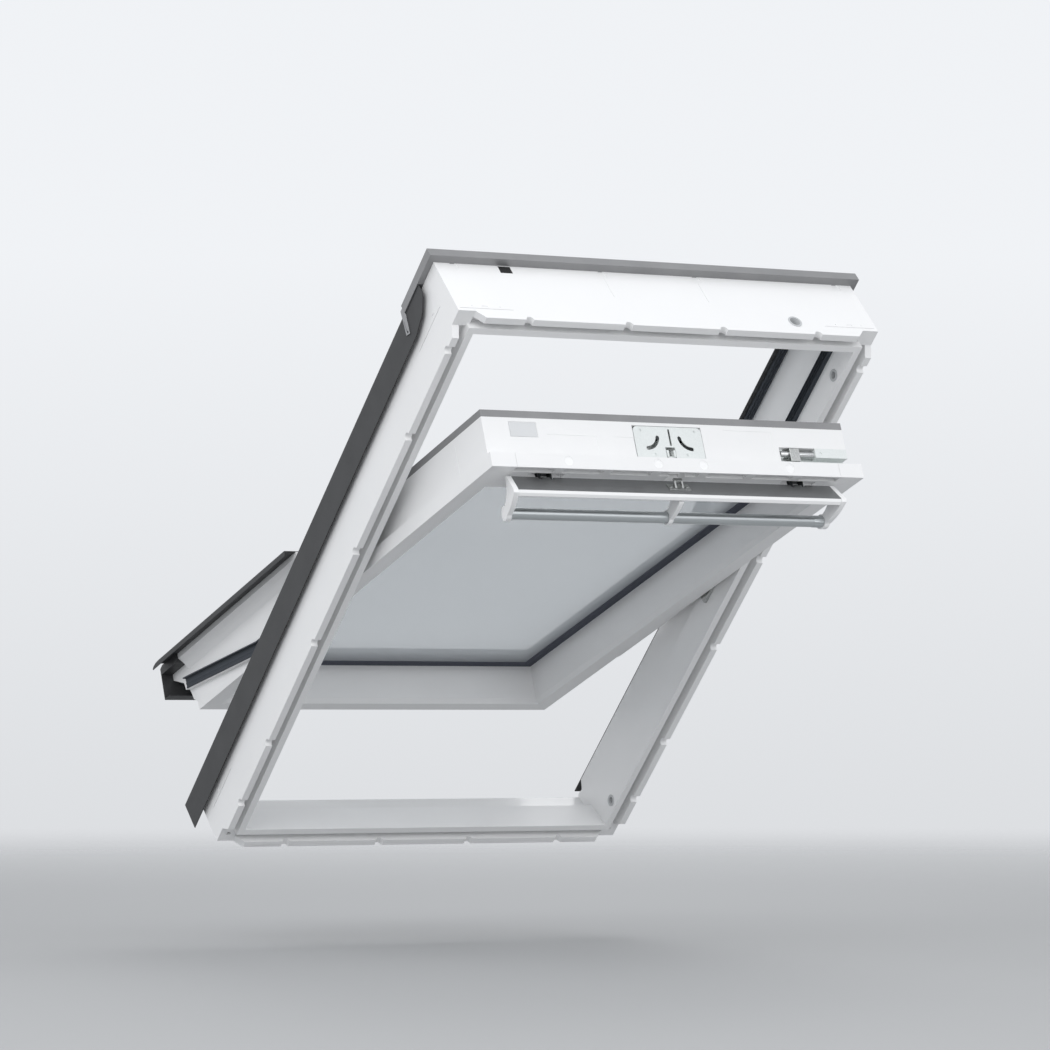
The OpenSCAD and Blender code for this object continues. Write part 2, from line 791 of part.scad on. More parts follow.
// Bed under the inner pane, with a lip that shows inside the opening
module glazing_gasket() {
    lip = 20;
    color(black_rubber) in_sash() difference() {
        pane_ring([ledge_w, inner_w], 0, ledge + lip - 2);
        for (i = [1 : 3]) difference() {
            span([-glass_x + 5 * i, glass_x - 5 * i], [ledge_w - 1, ledge_w + 0.4],
                 [glass_low + 5 * i, glass_top - 5 * i]);
            span([-glass_x + 5 * i + 1, glass_x - 5 * i - 1], [ledge_w - 2, ledge_w + 1],
                 [glass_low + 5 * i + 1, glass_top - 5 * i - 1]);
        }
    }
}
// Weather seal on the outer pane, under the covers
module glass_seal() {
    color(black_rubber) in_sash() pane_ring([outer_face_w, outer_face_w + seal_t], 4, 10);
}

// ---- Covers on the sash -------------------------------------------------

cover_in = glass_x + 4;        // inner edge of the side covers
cover_low = glass_low - 4;
cover_leg = outer_face_w + seal_t;

// Section of a narrow cover: outer face, top and inner leg
module narrow_section(inner, outer) {
    polygon([[outer, sash_depth], [outer, cover_w], [inner, cover_w], [inner, cover_leg],
             [inner + sheet, cover_leg], [inner + sheet, cover_w - sheet],
             [outer - sheet, cover_w - sheet], [outer - sheet, sash_depth]]);
}

module sash_cover_part() {
    color(light_alu) in_sash() upward(wide_top, head_z - 1.6) narrow_section(cover_in, body_x);
}
module sash_cover_right() {
    sash_cover_part();
}
module sash_cover_left() {
    on_left() sash_cover_part();
}

module sash_cover_top() {
    inner = glass_top + 4;
    color(light_alu) in_sash() difference() {
        across(-body_x, body_x)
            polygon([[sash_depth, head_z], [cover_w, head_z], [cover_w, inner],
                     [cover_leg, inner], [cover_leg, inner + sheet],
                     [cover_w - sheet, inner + sheet], [cover_w - sheet, head_z - sheet],
                     [sash_depth, head_z - sheet]]);
        // the side covers run up to the front edge in the corners
        both_sides() span([cover_in - 0.4, body_x + 1], [sash_depth - 5, cover_w + 1],
                          [inner - 1, head_z - 1.6]);
    }
}

wide_edge = half_w;
edge_drop = 9;                 // height of the turned-down outer edge
lower_cover_end = bottom_v + 1;

// Lower side cover: wide enough to lap over the frame's cladding, with an
// outer edge that rounds off at the bottom
module lower_cover_part() {
    start = wide_top - 1;
    end = lower_cover_end;
    r = 3 * edge_drop;
    color(dark_alu) in_sash() difference() {
        upward(end, start)
            polygon([[cover_in, cover_leg], [cover_in, cover_w], [wide_edge, cover_w],
                     [wide_edge, cover_w - edge_drop], [wide_edge - sheet, cover_w - edge_drop],
                     [wide_edge - sheet, cover_w - sheet], [cover_in + sheet, cover_w - sheet],
                     [cover_in + sheet, cover_leg]]);
        across(wide_x + 4, wide_edge + 1)
            polygon([[cover_w + 1, end - 1], [cover_w + 1, end + r], [cover_w, end + r],
                     [cover_w - 0.1 * edge_drop, end + 0.55 * r],
                     [cover_w - 0.35 * edge_drop, end + 0.25 * r],
                     [cover_w - 0.7 * edge_drop, end + 0.06 * r],
                     [cover_w - edge_drop, end], [cover_w - edge_drop, end - 1]]);
        across(cover_in - 1, wide_x + 0.3)
            polygon([[cover_leg - 5, end - 1], [cover_w + 1, end - 1], [cover_w + 1, cover_low + 0.4],
                     [cover_leg - 5, cover_low + 0.4]]);
    }
}
module lower_cover_right() {
    lower_cover_part();
}
module lower_cover_left() {
    on_left() lower_cover_part();
}

skirt_x = half_w - 16;
skirt_w = closed_y + 10;
block_w = cover_w - 17;
block_length = 62;

// Bottom cover, with a skirt that hangs outside the frame's bottom rail and
// a corner block at each end
module sash_cover_bottom() {
    end = bottom_v;
    skirt_return = 20;
    color(dark_alu) in_sash() {
        across(-wide_x, wide_x)
            polygon([[cover_leg, cover_low], [cover_w, cover_low], [cover_w, end + 6],
                     [cover_w - 6, end - sheet], [block_w - 5, end - sheet], [block_w - 5, end],
                     [sash_depth, end], [cover_w - 6.5, end], [cover_w - sheet, end + 6.5],
                     [cover_w - sheet, cover_low - sheet], [cover_leg, cover_low - sheet]]);
        across(-skirt_x, skirt_x)
            polygon([[block_w + 0.5, end], [block_w + 0.5, end - sheet], [skirt_w, end - sheet],
                     [skirt_w, end + skirt_return], [skirt_w + sheet, end + skirt_return],
                     [skirt_w + sheet, end]]);
        both_sides() across(wide_x, skirt_x)
            polygon([[cover_w - sheet - seat, end + block_length],
                     [cover_w - sheet - seat, end + 8], [cover_w - 6, end - sheet],
                     [block_w, end - sheet], [block_w, end + block_length]]);
    }
}

// ---- Lock case and latch jaws -------------------------------------------

// Curved slot for a jaw's peg, round at both ends
module jaw_slot(width) {
    first = jaw_rest + 3;
    last = jaw_rest - jaw_turn - 3;
    far = 2 * jaw_reach;
    intersection() {
        difference() {
            circle(r = jaw_reach + width / 2);
            circle(r = jaw_reach - width / 2);
        }
        polygon([[0, 0], far * [cos(first), sin(first)],
                 far * [cos((first + last) / 2), sin((first + last) / 2)],
                 far * [cos(last), sin(last)]]);
    }
    for (a = [first, last])
        translate([jaw_reach * cos(a), jaw_reach * sin(a)]) circle(r = width / 2 - 0.05);
}

// Places a flat shape (across, outwards) on the head of the sash
module on_head(from, to) {
    translate([0, 0, from]) linear_extrude(to - from) children();
}

module lock_outline(inset) {
    r = 8;
    x = lock_x - inset;
    low = lock_low + inset;
    high = lock_high - inset;
    translate([-x, low]) square([2 * x, high - low - r]);
    translate([-x + r, low]) square([2 * x - 2 * r, high - low]);
    for (c = [-x + r, x - r]) translate([c, high - r]) circle(r = r);
}

module lock_case() {
    color(steel) in_sash() difference() {
        on_head(head_z - lock_depth + 0.3, head_z + 0.3) lock_outline(0);
        on_head(head_z - lock_depth + 1.8, head_z - 1.5) lock_outline(1.5);
        // jaw slots and the middle slit
        for (side = [-1, 1]) on_head(head_z - 2, head_z + 1)
            translate([side * jaw_x, jaw_w]) scale([-side, 1]) jaw_slot(6.5);
        on_head(head_z - 2, head_z + 1) translate([1, 54]) square([3.4, 28]);
        on_head(head_z - 2, head_z + 1) translate([-9, lock_low - 1]) square([18, 19]);
        for (p = lock_screw_places) bar_z_axis(2.4, head_z - 2, head_z + 1, p[0], p[1]);
    }
    color(steel) in_sash() for (x = [-jaw_x, jaw_x])
        bar_z_axis(jaw_pin, head_z - lock_depth + 1, head_z - 0.7, x, jaw_w);
}

lock_screw_places = [[-50, 79], [50, 79], [-29.5, 38.5], [29.5, 38.5]];

module lock_screws() {
    color(light_alu) in_sash() for (p = lock_screw_places)
        bar_z_axis(2.4, head_z - 1.5, head_z + 0.1, p[0], p[1]);
}

// Hook piece that the bar's link draws down
module lock_hook() {
    color(steel) in_sash() {
        for (x = [-8, 4.5]) span([x, x + 3.5], [34.5, 46], [head_z - 8, head_z + 1.2]);
        span([-8, 8], [34.5, 37.5], [head_z - 8, head_z - 4]);
        span([-3, 3], [34.5, 37.5], [head_z - lock_depth + 1.8, head_z - 4]);
    }
}

// A jaw: hub, arm and a peg that shows in the slot
module jaw_part() {
    low = head_z - lock_depth + 3;
    color(light_alu) in_sash() translate([-jaw_x, jaw_w, 0]) difference() {
        union() {
            translate([0, 0, low]) cylinder(r = 7, h = 10);
            translate([0, 0, low]) rotate([0, 0, jaw_rest]) {
                translate([0, -3, 0]) cube([jaw_reach, 6, 6]);
                translate([jaw_reach, 0, 0]) cylinder(r = 3, h = lock_depth - 2.4);
            }
        }
        translate([0, 0, low - 1]) cylinder(r = jaw_pin + fit, h = 12);
    }
}
module latch_jaw_left() {
    jaw_part();
}
module latch_jaw_right() {
    on_left() jaw_part();
}

// ---- Barrel bolt --------------------------------------------------------

plate_start = body_x - 61;

module bolt_case() {
    color(steel) in_sash() difference() {
        union() {
            // tray and the flat plate over the bolt's nose
            span([bolt_start - 4, body_x], [tray_w, tray_w + sheet], [bolt_v - 9, head_z]);
            span([bolt_start - 4, body_x], [tray_w, bolt_w + 9], [bolt_v - 9, bolt_v - 7.5]);
            span([plate_start, body_x], [bolt_w - 7, bolt_w + 9], [bolt_v - 8, head_z + 0.2]);
            span([bolt_start - 4, bolt_start + 6], [bolt_w - 7, bolt_w + 9], [bolt_v - 8, bolt_v + 1]);
        }
        bar_x_axis(bolt_radius + fit, bolt_start - 5, body_x + 1, bolt_w, bolt_v);
        bar_z_axis(2.6, head_z - 0.8, head_z + 1, plate_start + 10, bolt_w);
    }
}

module barrel_bolt() {
    color(steel) in_sash() {
        bar_x_axis(bolt_radius, bolt_start, body_x - 0.3, bolt_w, bolt_v);
    }
}

// Finger band round the bolt
module bolt_knob() {
    start = bolt_start + 14.5;
    color(light_alu) in_sash() difference() {
        span([start, start + 18], [tray_w + sheet + seat, bolt_w + 7.5],
             [bolt_v - 6.8, head_z + 2.2]);
        bar_x_axis(bolt_radius, start - 1, start + 19, bolt_w, bolt_v);
        span([start - 1, start + 19], [bolt_w - 17, bolt_w - 8], [bolt_v - 7, head_z - 3]);
    }
}

// Blank plate where the data label sits
module data_plate() {
    color("whitesmoke") in_sash() span([-288, -240], [61, 85], [head_z - 0.8, head_z + 0.1]);
}

// ---- Control bar --------------------------------------------------------

// Two ears and a pin at each end of the bar's hinge
module bar_brackets() {
    color(steel) in_sash() {
        for (x = [-bracket_x, bracket_x]) {
            for (side = [-1, 1]) difference() {
                union() {
                    span([x + side * 10 - 2, x + side * 10 + 2], [hinge_w, 7],
                         [hinge_v - 4.5, hinge_v + 4.5]);
                    bar_x_axis(4.5, x + side * 10 - 2, x + side * 10 + 2, hinge_w, hinge_v);
                }
                bar_x_axis(bracket_pin, x - 20, x + 20, hinge_w, hinge_v);
            }
            span([x - 12, x + 12], [5, 7], [hinge_v - 9, hinge_v + 6]);
            bar_x_axis(bracket_pin, x - 13, x + 13, hinge_w, hinge_v);
        }
    }
}

plate_back = [-3, lip_z - 30.4];
plate_front = [-33, lip_z - 9.9];

// The leaning end caps: where their slabs start and end, and how far the
// lower end comes in
cap_low = grip_v - grip_radius - 5;
cap_high = plate_front[1] + 3;
cap_reach = cap_lean * (cap_high - cap_low) / (plate_front[1] - grip_v);

// Room between the caps, which the plate and its nose fill
module between_caps() {
    low_x = bar_x - cap_t - cap_reach;
    high_x = bar_x - cap_t;
    outward(-100, 20)
        polygon([[-low_x, cap_low], [low_x, cap_low], [high_x, cap_high], [-high_x, cap_high]]);
}

// Flat upper plate with knuckles on the hinge pins
module bar_plate() {
    color(dark_alu) in_sash() difference() {
        union() {
            intersection() {
                across(-bar_x, bar_x)
                    polygon([plate_back, plate_front, plate_front + [-1.2, -2.4],
                             plate_back + [-1.7, -2.5]]);
                between_caps();
            }
            for (x = [-bracket_x, bracket_x]) {
                bar_x_axis(4.5, x - 7, x + 7, hinge_w, hinge_v);
                across(x - 7, x + 7)
                    polygon([[hinge_w - 3, hinge_v], [hinge_w + 3, hinge_v],
                             plate_back + [-1, -1], plate_back + [-9, 4]]);
            }
        }
        for (x = [-bracket_x, bracket_x])
            bar_x_axis(bracket_pin + fit, x - 8, x + 8, hinge_w, hinge_v);
        for (x = [-bracket_x, bracket_x]) for (side = [-1, 1])
            span([x + side * 10.5 - 3.3, x + side * 10.5 + 3.3], [-14, 8],
                 [hinge_v - 7, hinge_v + 8]);
    }
}

// Outline of an end cap: a crescent between two arcs, round at the grip
module cap_outline() {
    outer = [47.3, lip_z - 74.8];
    inner = [-8, lip_z - 70.4];
    difference() {
        intersection() {
            translate(outer) circle(r = 107.3, $fn = 160);
            polygon([plate_back, plate_front, plate_front + [-40, -2], [-80, grip_v],
                     [-40, grip_v - 2], [-12, hinge_v - 5.5], [-2, hinge_v - 2]]);
        }
        translate(inner) circle(r = 35, $fn = 96);
        translate([hinge_w + 9, hinge_v - 9]) circle(r = 7);
    }
    translate([grip_w, grip_v]) circle(r = grip_radius + 2.5);
}

// Slab that leans inwards from the plate to the grip
module cap_slab() {
    outward(-100, 20)
        polygon([[bar_x - cap_t - cap_reach, cap_low], [bar_x - cap_reach, cap_low],
                 [bar_x, cap_high], [bar_x - cap_t, cap_high]]);
}

module cap_part() {
    color(white) in_sash() difference() {
        intersection() {
            across(bar_x - cap_t - 2 * cap_lean, bar_x) cap_outline();
            cap_slab();
        }
        bar_x_axis(grip_radius, bar_x - 3 * cap_t, grip_end, grip_w, grip_v);
    }
}
module bar_cap_right() {
    cap_part();
}
module bar_cap_left() {
    on_left() cap_part();
}

// White front edge of the bar
module bar_nose() {
    color(white) in_sash() intersection() {
        across(-bar_x, bar_x)
            polygon([plate_front, plate_front + [-5.5, -1.3], plate_front + [-10, -5.6],
                     plate_front + [-8.5, -7.2], plate_front + [-1.2, -2.4]]);
        between_caps();
    }
}

// Middle support, a thin copy of the end caps
module bar_support() {
    color(white) in_sash() difference() {
        across(-4, 4) intersection() {
            cap_outline();
            polygon([[-100, grip_v - 20], [-100, lip_z - 19], [-14, lip_z - 19], [-22, grip_v + 18],
                     [-30, grip_v - 20]]);
        }
        bar_x_axis(grip_radius, -5, 5, grip_w, grip_v);
        across(-5, 5) polygon([plate_back, plate_front, plate_front + [-12, -2],
                               plate_front + [-8.5, -7.2], plate_front + [-1.2, -2.4],
                               plate_back + [-1.7, -2.5]]);
    }
}

grip_end = bar_x - cap_lean - 4;
module bar_grip() {
    color(steel) in_sash() difference() {
        bar_x_axis(grip_radius, -grip_end, grip_end, grip_w, grip_v);
        bar_x_axis(grip_radius - 1.5, -grip_end - 1, grip_end + 1, grip_w, grip_v);
    }
}

// Metal link on the middle of the plate that works the lock
module bar_link() {
    mid = plate_back + 0.52 * (plate_front - plate_back);
    slope = plate_front - plate_back;
    lift = [0.564, 0.826];
    color(steel) in_sash() {
        across(-20, 20)
            polygon([mid - 0.22 * slope, mid + 0.22 * slope, mid + 0.22 * slope + 1.6 * lift,
                     mid - 0.22 * slope + 1.6 * lift]);
        for (x = [-8, 5]) across(x, x + 3)
            polygon([mid + 1.6 * lift + 0.1 * slope, mid + 1.6 * lift - 0.12 * slope,
                     [-2.5, hinge_v + 17], [-8, hinge_v + 19]]);
        across(-8, 8) polygon([[-2.5, hinge_v + 17], [-8, hinge_v + 19], [-9.5, hinge_v + 16],
                               [-4.5, hinge_v + 14]]);
        for (x = [-15, 15]) translate([x, 0, 0]) across(-2, 2)
            polygon([mid + 1.6 * lift - 0.06 * slope, mid + 1.6 * lift + 0.06 * slope,
                     mid + 2.8 * lift + 0.05 * slope, mid + 2.8 * lift - 0.05 * slope]);
    }
}

frame_casing();
top_hood();
hood_clips();
side_cladding_left();
side_cladding_right();
side_cover_left();
side_cover_right();
frame_gasket_left();
frame_gasket_right();
frame_gasket_top();
outer_seal_left();
outer_seal_right();
hinge_plate_left();
hinge_plate_right();
pivot_pins();
bolt_bushes();
striker_plate();
cable_grommet();
foam_pad();
frame_screws();
sash_casing();
vent_profile();
vent_filter();
lip_plugs();
inner_pane();
glass_spacer();
outer_pane();
glazing_gasket();
glass_seal();
sash_cover_left();
sash_cover_right();
sash_cover_top();
sash_cover_bottom();
lower_cover_left();
lower_cover_right();
sash_gasket_left();
sash_gasket_right();
sash_gasket_bottom();
sash_plate_left();
sash_plate_right();
plate_screws();
lock_case();
lock_screws();
lock_hook();
bolt_case();
data_plate();
bar_brackets();
bar_plate();
bar_nose();
bar_cap_left();
bar_cap_right();
bar_support();
bar_grip();
bar_link();
latch_jaw_left();
latch_jaw_right();
barrel_bolt();
bolt_knob();
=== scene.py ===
"""Looks of a centre-pivot roof window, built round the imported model.

The window has two sets of axes. In the frame's axes x runs across, y outwards
through the roof and z up the slope. In the sash's axes the same three turn with
the open sash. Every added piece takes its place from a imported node's box in one
of these sets of axes. Lengths are in metres.
"""

import json
import logging
import math
from dataclasses import dataclass, field
from enum import Enum
from typing import Callable, Iterable, Sequence

import bmesh
import bpy
from mathutils import Matrix, Vector


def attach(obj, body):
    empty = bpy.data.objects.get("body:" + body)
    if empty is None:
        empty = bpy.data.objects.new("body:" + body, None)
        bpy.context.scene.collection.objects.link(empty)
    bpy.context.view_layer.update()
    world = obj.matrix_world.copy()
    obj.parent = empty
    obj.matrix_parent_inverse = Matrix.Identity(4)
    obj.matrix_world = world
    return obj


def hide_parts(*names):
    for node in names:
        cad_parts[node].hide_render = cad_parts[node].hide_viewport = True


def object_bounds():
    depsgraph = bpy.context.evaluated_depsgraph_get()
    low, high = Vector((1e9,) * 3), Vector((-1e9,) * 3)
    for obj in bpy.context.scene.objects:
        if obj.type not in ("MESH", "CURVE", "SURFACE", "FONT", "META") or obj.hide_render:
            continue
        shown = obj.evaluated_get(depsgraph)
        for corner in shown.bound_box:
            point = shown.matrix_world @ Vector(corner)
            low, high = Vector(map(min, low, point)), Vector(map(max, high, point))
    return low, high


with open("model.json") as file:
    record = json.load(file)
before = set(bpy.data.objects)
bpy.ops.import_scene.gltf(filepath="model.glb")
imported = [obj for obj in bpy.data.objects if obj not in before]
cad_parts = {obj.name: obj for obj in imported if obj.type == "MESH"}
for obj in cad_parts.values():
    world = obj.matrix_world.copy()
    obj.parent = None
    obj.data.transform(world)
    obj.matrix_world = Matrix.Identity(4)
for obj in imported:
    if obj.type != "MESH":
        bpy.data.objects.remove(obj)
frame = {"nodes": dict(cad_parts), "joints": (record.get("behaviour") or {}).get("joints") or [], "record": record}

CAD_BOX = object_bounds()
LOG = logging.getLogger("roof_window")
MM = 0.001
BEVEL_ANGLE = math.radians(32)      # edges flatter than this stay as they are
WELD_DISTANCE = 0.002 * MM
SAME_PLACE = 0.001 * MM             # vertices nearer than this are one

Point2 = tuple[float, float]
Colour = tuple[float, float, float]
Span = tuple[float, float]


class Effect(Enum):
    """The surface effects, each one a shared shader node group."""

    MOULDED = "moulded_skin"
    BRUSHED = "drawn_metal"
    CAST = "fine_grain"
    SPANGLE = "zinc_spangle"


class Part(Enum):
    """The window's two sets of axes."""

    FRAME = "frame"
    SASH = "sash"


# ---- Axes ---------------------------------------------------------------


@dataclass(frozen=True)
class Axes:
    """A set of axes through the row's origin.

    Attributes:
        outward: Direction of the local y axis.
        upward: Direction of the local z axis.
    """

    outward: Vector
    upward: Vector

    def matrix(self) -> Matrix:
        """Returns the turn from these axes to the row's."""
        columns = (Vector((1.0, 0.0, 0.0)), self.outward, self.upward)
        return Matrix([[c[i] for c in columns] for i in range(3)]).to_4x4()

    def box(self, node: str) -> tuple[Vector, Vector]:
        """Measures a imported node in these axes.

        Args:
            node: The node's name.

        Returns:
            Its lowest and highest corners.
        """
        back = self.matrix().to_3x3().transposed()
        places = [back @ v.co for v in frame["nodes"][node].data.vertices]
        low = Vector([min(p[i] for p in places) for i in range(3)])
        high = Vector([max(p[i] for p in places) for i in range(3)])
        return low, high


def mount_axis(name: str) -> Vector:
    """Returns the direction of one of the record's mounts."""
    mounts = {m["name"]: m for m in frame["record"]["mounts"]}
    return Vector(mounts[name]["axis"]).normalized()


def joint_axis(name: str) -> Vector:
    """Returns the direction of one of the record's joints."""
    joints = {j["name"]: j for j in frame["joints"]}
    return Vector(joints[name]["axis"]).normalized()


AXES = {
    Part.FRAME: Axes(mount_axis("roof_fixing"), mount_axis("head_face")),
    Part.SASH: Axes(joint_axis("lock_hook_slide"), joint_axis("jaw_left_turn")),
}


# ---- Shader groups ------------------------------------------------------


@dataclass
class NodeChain:
    """Adds nodes to a node tree and joins them.

    Attributes:
        tree: The tree that the nodes go in.
        column: The next node's column, which spreads them out.
    """

    tree: bpy.types.NodeTree
    column: int = 0

    def add(self, kind: str, **inputs: object) -> bpy.types.Node:
        """Adds a node and fills its inputs.

        Args:
            kind: The node's type name, without its ShaderNode prefix.
            **inputs: A value or an output socket for each input, by name
                with underscores for spaces, or by i and its number.

        Returns:
            The new node.
        """
        node = self.tree.nodes.new("ShaderNode" + kind)
        node.location = (180 * self.column, 0)
        self.column += 1
        for key, value in inputs.items():
            socket = self.socket(node, key)
            if isinstance(value, bpy.types.NodeSocket):
                self.tree.links.new(value, socket)
            else:
                socket.default_value = value
        return node

    @staticmethod
    def socket(node: bpy.types.Node, key: str) -> bpy.types.NodeSocket:
        """Returns an input by its name, or by i and its number."""
        if key[0] == "i" and key[1:].isdigit():
            return node.inputs[int(key[1:])]
        return node.inputs[key.replace("_", " ")]

    def noise(self, place: bpy.types.NodeSocket, scale: object,
              detail: float = 3.0) -> bpy.types.NodeSocket:
        """Returns the value of a noise texture."""
        return self.add("TexNoise", Vector=place, Scale=scale, Detail=detail).outputs[0]

    def maths(self, operation: str, first: object, second: object) -> bpy.types.NodeSocket:
        """Returns the result of a maths node."""
        node = self.add("Math", i0=first, i1=second)
        node.operation = operation
        return node.outputs[0]

    def stretch(self, value: object, low: float, high: float) -> bpy.types.NodeSocket:
        """Returns a value with the range low to high spread over 0 to 1."""
        return self.add("MapRange", Value=value, From_Min=low, From_Max=high).outputs[0]


class SurfaceGroups:
    """Makes each shared effect once and hands it out.

    Every group has the inputs Scale and Stretch and the outputs Tone, Wear
    and Height, all three from 0 to 1.
    """

    def __init__(self) -> None:
        self.made: dict[Effect, bpy.types.NodeTree] = {}

    def get(self, effect: Effect) -> bpy.types.NodeTree:
        """Returns the group for an effect, making it the first time."""
        if effect not in self.made:
            self.made[effect] = self.build(effect)
        return self.made[effect]

    def build(self, effect: Effect) -> bpy.types.NodeTree:
        """Builds one group.

        Args:
            effect: Which effect it gives.

        Returns:
            The group's node tree.
        """
        tree = bpy.data.node_groups.new(effect.value, "ShaderNodeTree")
        for name, value in (("Scale", 100.0), ("Stretch", 1.0)):
            socket = tree.interface.new_socket(name, in_out="INPUT", socket_type="NodeSocketFloat")
            socket.default_value = value
        for name in ("Tone", "Wear", "Height"):
            tree.interface.new_socket(name, in_out="OUTPUT", socket_type="NodeSocketFloat")
        chain = NodeChain(tree)
        entry = tree.nodes.new("NodeGroupInput")
        place = chain.add("TexCoord").outputs["Object"]
        long_way = chain.maths("DIVIDE", 1.0, entry.outputs["Stretch"])
        squeeze = chain.add("CombineXYZ", X=long_way, Y=1.0, Z=1.0)
        drawn = chain.add("VectorMath", i0=place, i1=squeeze.outputs[0])
        drawn.operation = "MULTIPLY"
        maker: Callable[..., tuple] = getattr(self, effect.name.lower())
        values = maker(chain, drawn.outputs[0], entry.outputs["Scale"])
        leave = tree.nodes.new("NodeGroupOutput")
        for value, socket in zip(values, leave.inputs):
            tree.links.new(value, socket)
        return tree

    @staticmethod
    def moulded(chain: NodeChain, place: bpy.types.NodeSocket, scale: bpy.types.NodeSocket) -> tuple:
        """Skin of a lacquered moulding: a faint orange peel and slow clouds."""
        peel = chain.noise(place, scale, 2.0)
        waves = chain.noise(place, chain.maths("MULTIPLY", scale, 0.02), 2.0)
        cloud = chain.noise(place, chain.maths("MULTIPLY", scale, 0.008), 4.0)
        return chain.stretch(cloud, 0.35, 0.7), chain.stretch(waves, 0.3, 0.7), peel

    @staticmethod
    def brushed(chain: NodeChain, place: bpy.types.NodeSocket, scale: bpy.types.NodeSocket) -> tuple:
        """Drawn or brushed metal: long fine lines and wider bands."""
        lines = chain.noise(place, scale, 4.0)
        bands = chain.noise(place, chain.maths("MULTIPLY", scale, 0.12), 3.0)
        tone = chain.maths("ADD", chain.maths("MULTIPLY", lines, 0.6), chain.maths("MULTIPLY", bands, 0.4))
        return chain.stretch(tone, 0.35, 0.65), chain.stretch(bands, 0.3, 0.7), lines

    @staticmethod
    def cast(chain: NodeChain, place: bpy.types.NodeSocket, scale: bpy.types.NodeSocket) -> tuple:
        """Fine grain of powder coat, rubber or foam."""
        grain = chain.noise(place, scale, 5.0)
        cells = chain.add("TexVoronoi", Vector=place, Scale=chain.maths("MULTIPLY", scale, 1.4)).outputs[0]
        cloud = chain.noise(place, chain.maths("MULTIPLY", scale, 0.01), 4.0)
        height = chain.maths("ADD", chain.maths("MULTIPLY", grain, 0.6), chain.maths("MULTIPLY", cells, 0.4))
        return chain.stretch(cloud, 0.3, 0.72), chain.stretch(grain, 0.3, 0.7), height

    @staticmethod
    def spangle(chain: NodeChain, place: bpy.types.NodeSocket, scale: bpy.types.NodeSocket) -> tuple:
        """Bright zinc plating: crystals with a tone each, and a slow haze."""
        crystals = chain.add("TexVoronoi", Vector=place, Scale=scale)
        grey = chain.add("RGBToBW", Color=crystals.outputs["Color"]).outputs[0]
        haze = chain.noise(place, chain.maths("MULTIPLY", scale, 0.15), 3.0)
        return chain.stretch(grey, 0.1, 0.9), chain.stretch(haze, 0.3, 0.7), crystals.outputs["Distance"]


GROUPS = SurfaceGroups()


# ---- Finishes -----------------------------------------------------------


@dataclass(frozen=True)
class Finish:
    """One solid finish.

    Attributes:
        name: The material's name.
        colour: Base colour, linear.
        tone: How much darker the colour goes, as a share.
        roughness: Smallest and largest roughness.
        effect: The shared effect.
        scale: The effect's scale, in features a metre.
        stretch: How much longer the features are across the window.
        depth: Height of the relief, in metres.
        metallic: Metal share.
        coat: Weight of a clear coat.
    """

    name: str
    colour: Colour
    tone: float
    roughness: Span
    effect: Effect
    scale: float
    stretch: float = 1.0
    depth: float = 0.00002
    metallic: float = 0.0
    coat: float = 0.0

    def material(self) -> bpy.types.Material:
        """Returns this finish as a material, making it the first time."""
        found = bpy.data.materials.get(self.name)
        return found if found else self.build()

    def build(self) -> bpy.types.Material:
        """Builds the material: the effect drives colour, roughness and relief."""
        made = bpy.data.materials.new(self.name)
        made.use_nodes = True
        tree = made.node_tree
        shader = tree.nodes["Principled BSDF"]
        chain = NodeChain(tree, -5)
        surface = chain.add("Group")
        surface.node_tree = GROUPS.get(self.effect)
        surface.inputs["Scale"].default_value = self.scale
        surface.inputs["Stretch"].default_value = self.stretch
        darker = tuple(c * (1.0 - self.tone) for c in self.colour)
        mix = chain.add("Mix", i0=surface.outputs["Tone"], i6=(*darker, 1.0), i7=(*self.colour, 1.0))
        mix.data_type = "RGBA"
        rough = chain.add("MapRange", Value=surface.outputs["Wear"],
                          To_Min=self.roughness[0], To_Max=self.roughness[1])
        bump = chain.add("Bump", Height=surface.outputs["Height"], Distance=self.depth, Strength=1.0)
        tree.links.new(mix.outputs[2], shader.inputs["Base Color"])
        tree.links.new(rough.outputs[0], shader.inputs["Roughness"])
        tree.links.new(bump.outputs[0], shader.inputs["Normal"])
        shader.inputs["Metallic"].default_value = self.metallic
        shader.inputs["Coat Weight"].default_value = self.coat
        shader.inputs["Coat Roughness"].default_value = 0.12
        made.diffuse_color = (*self.colour, 1.0)
        return made


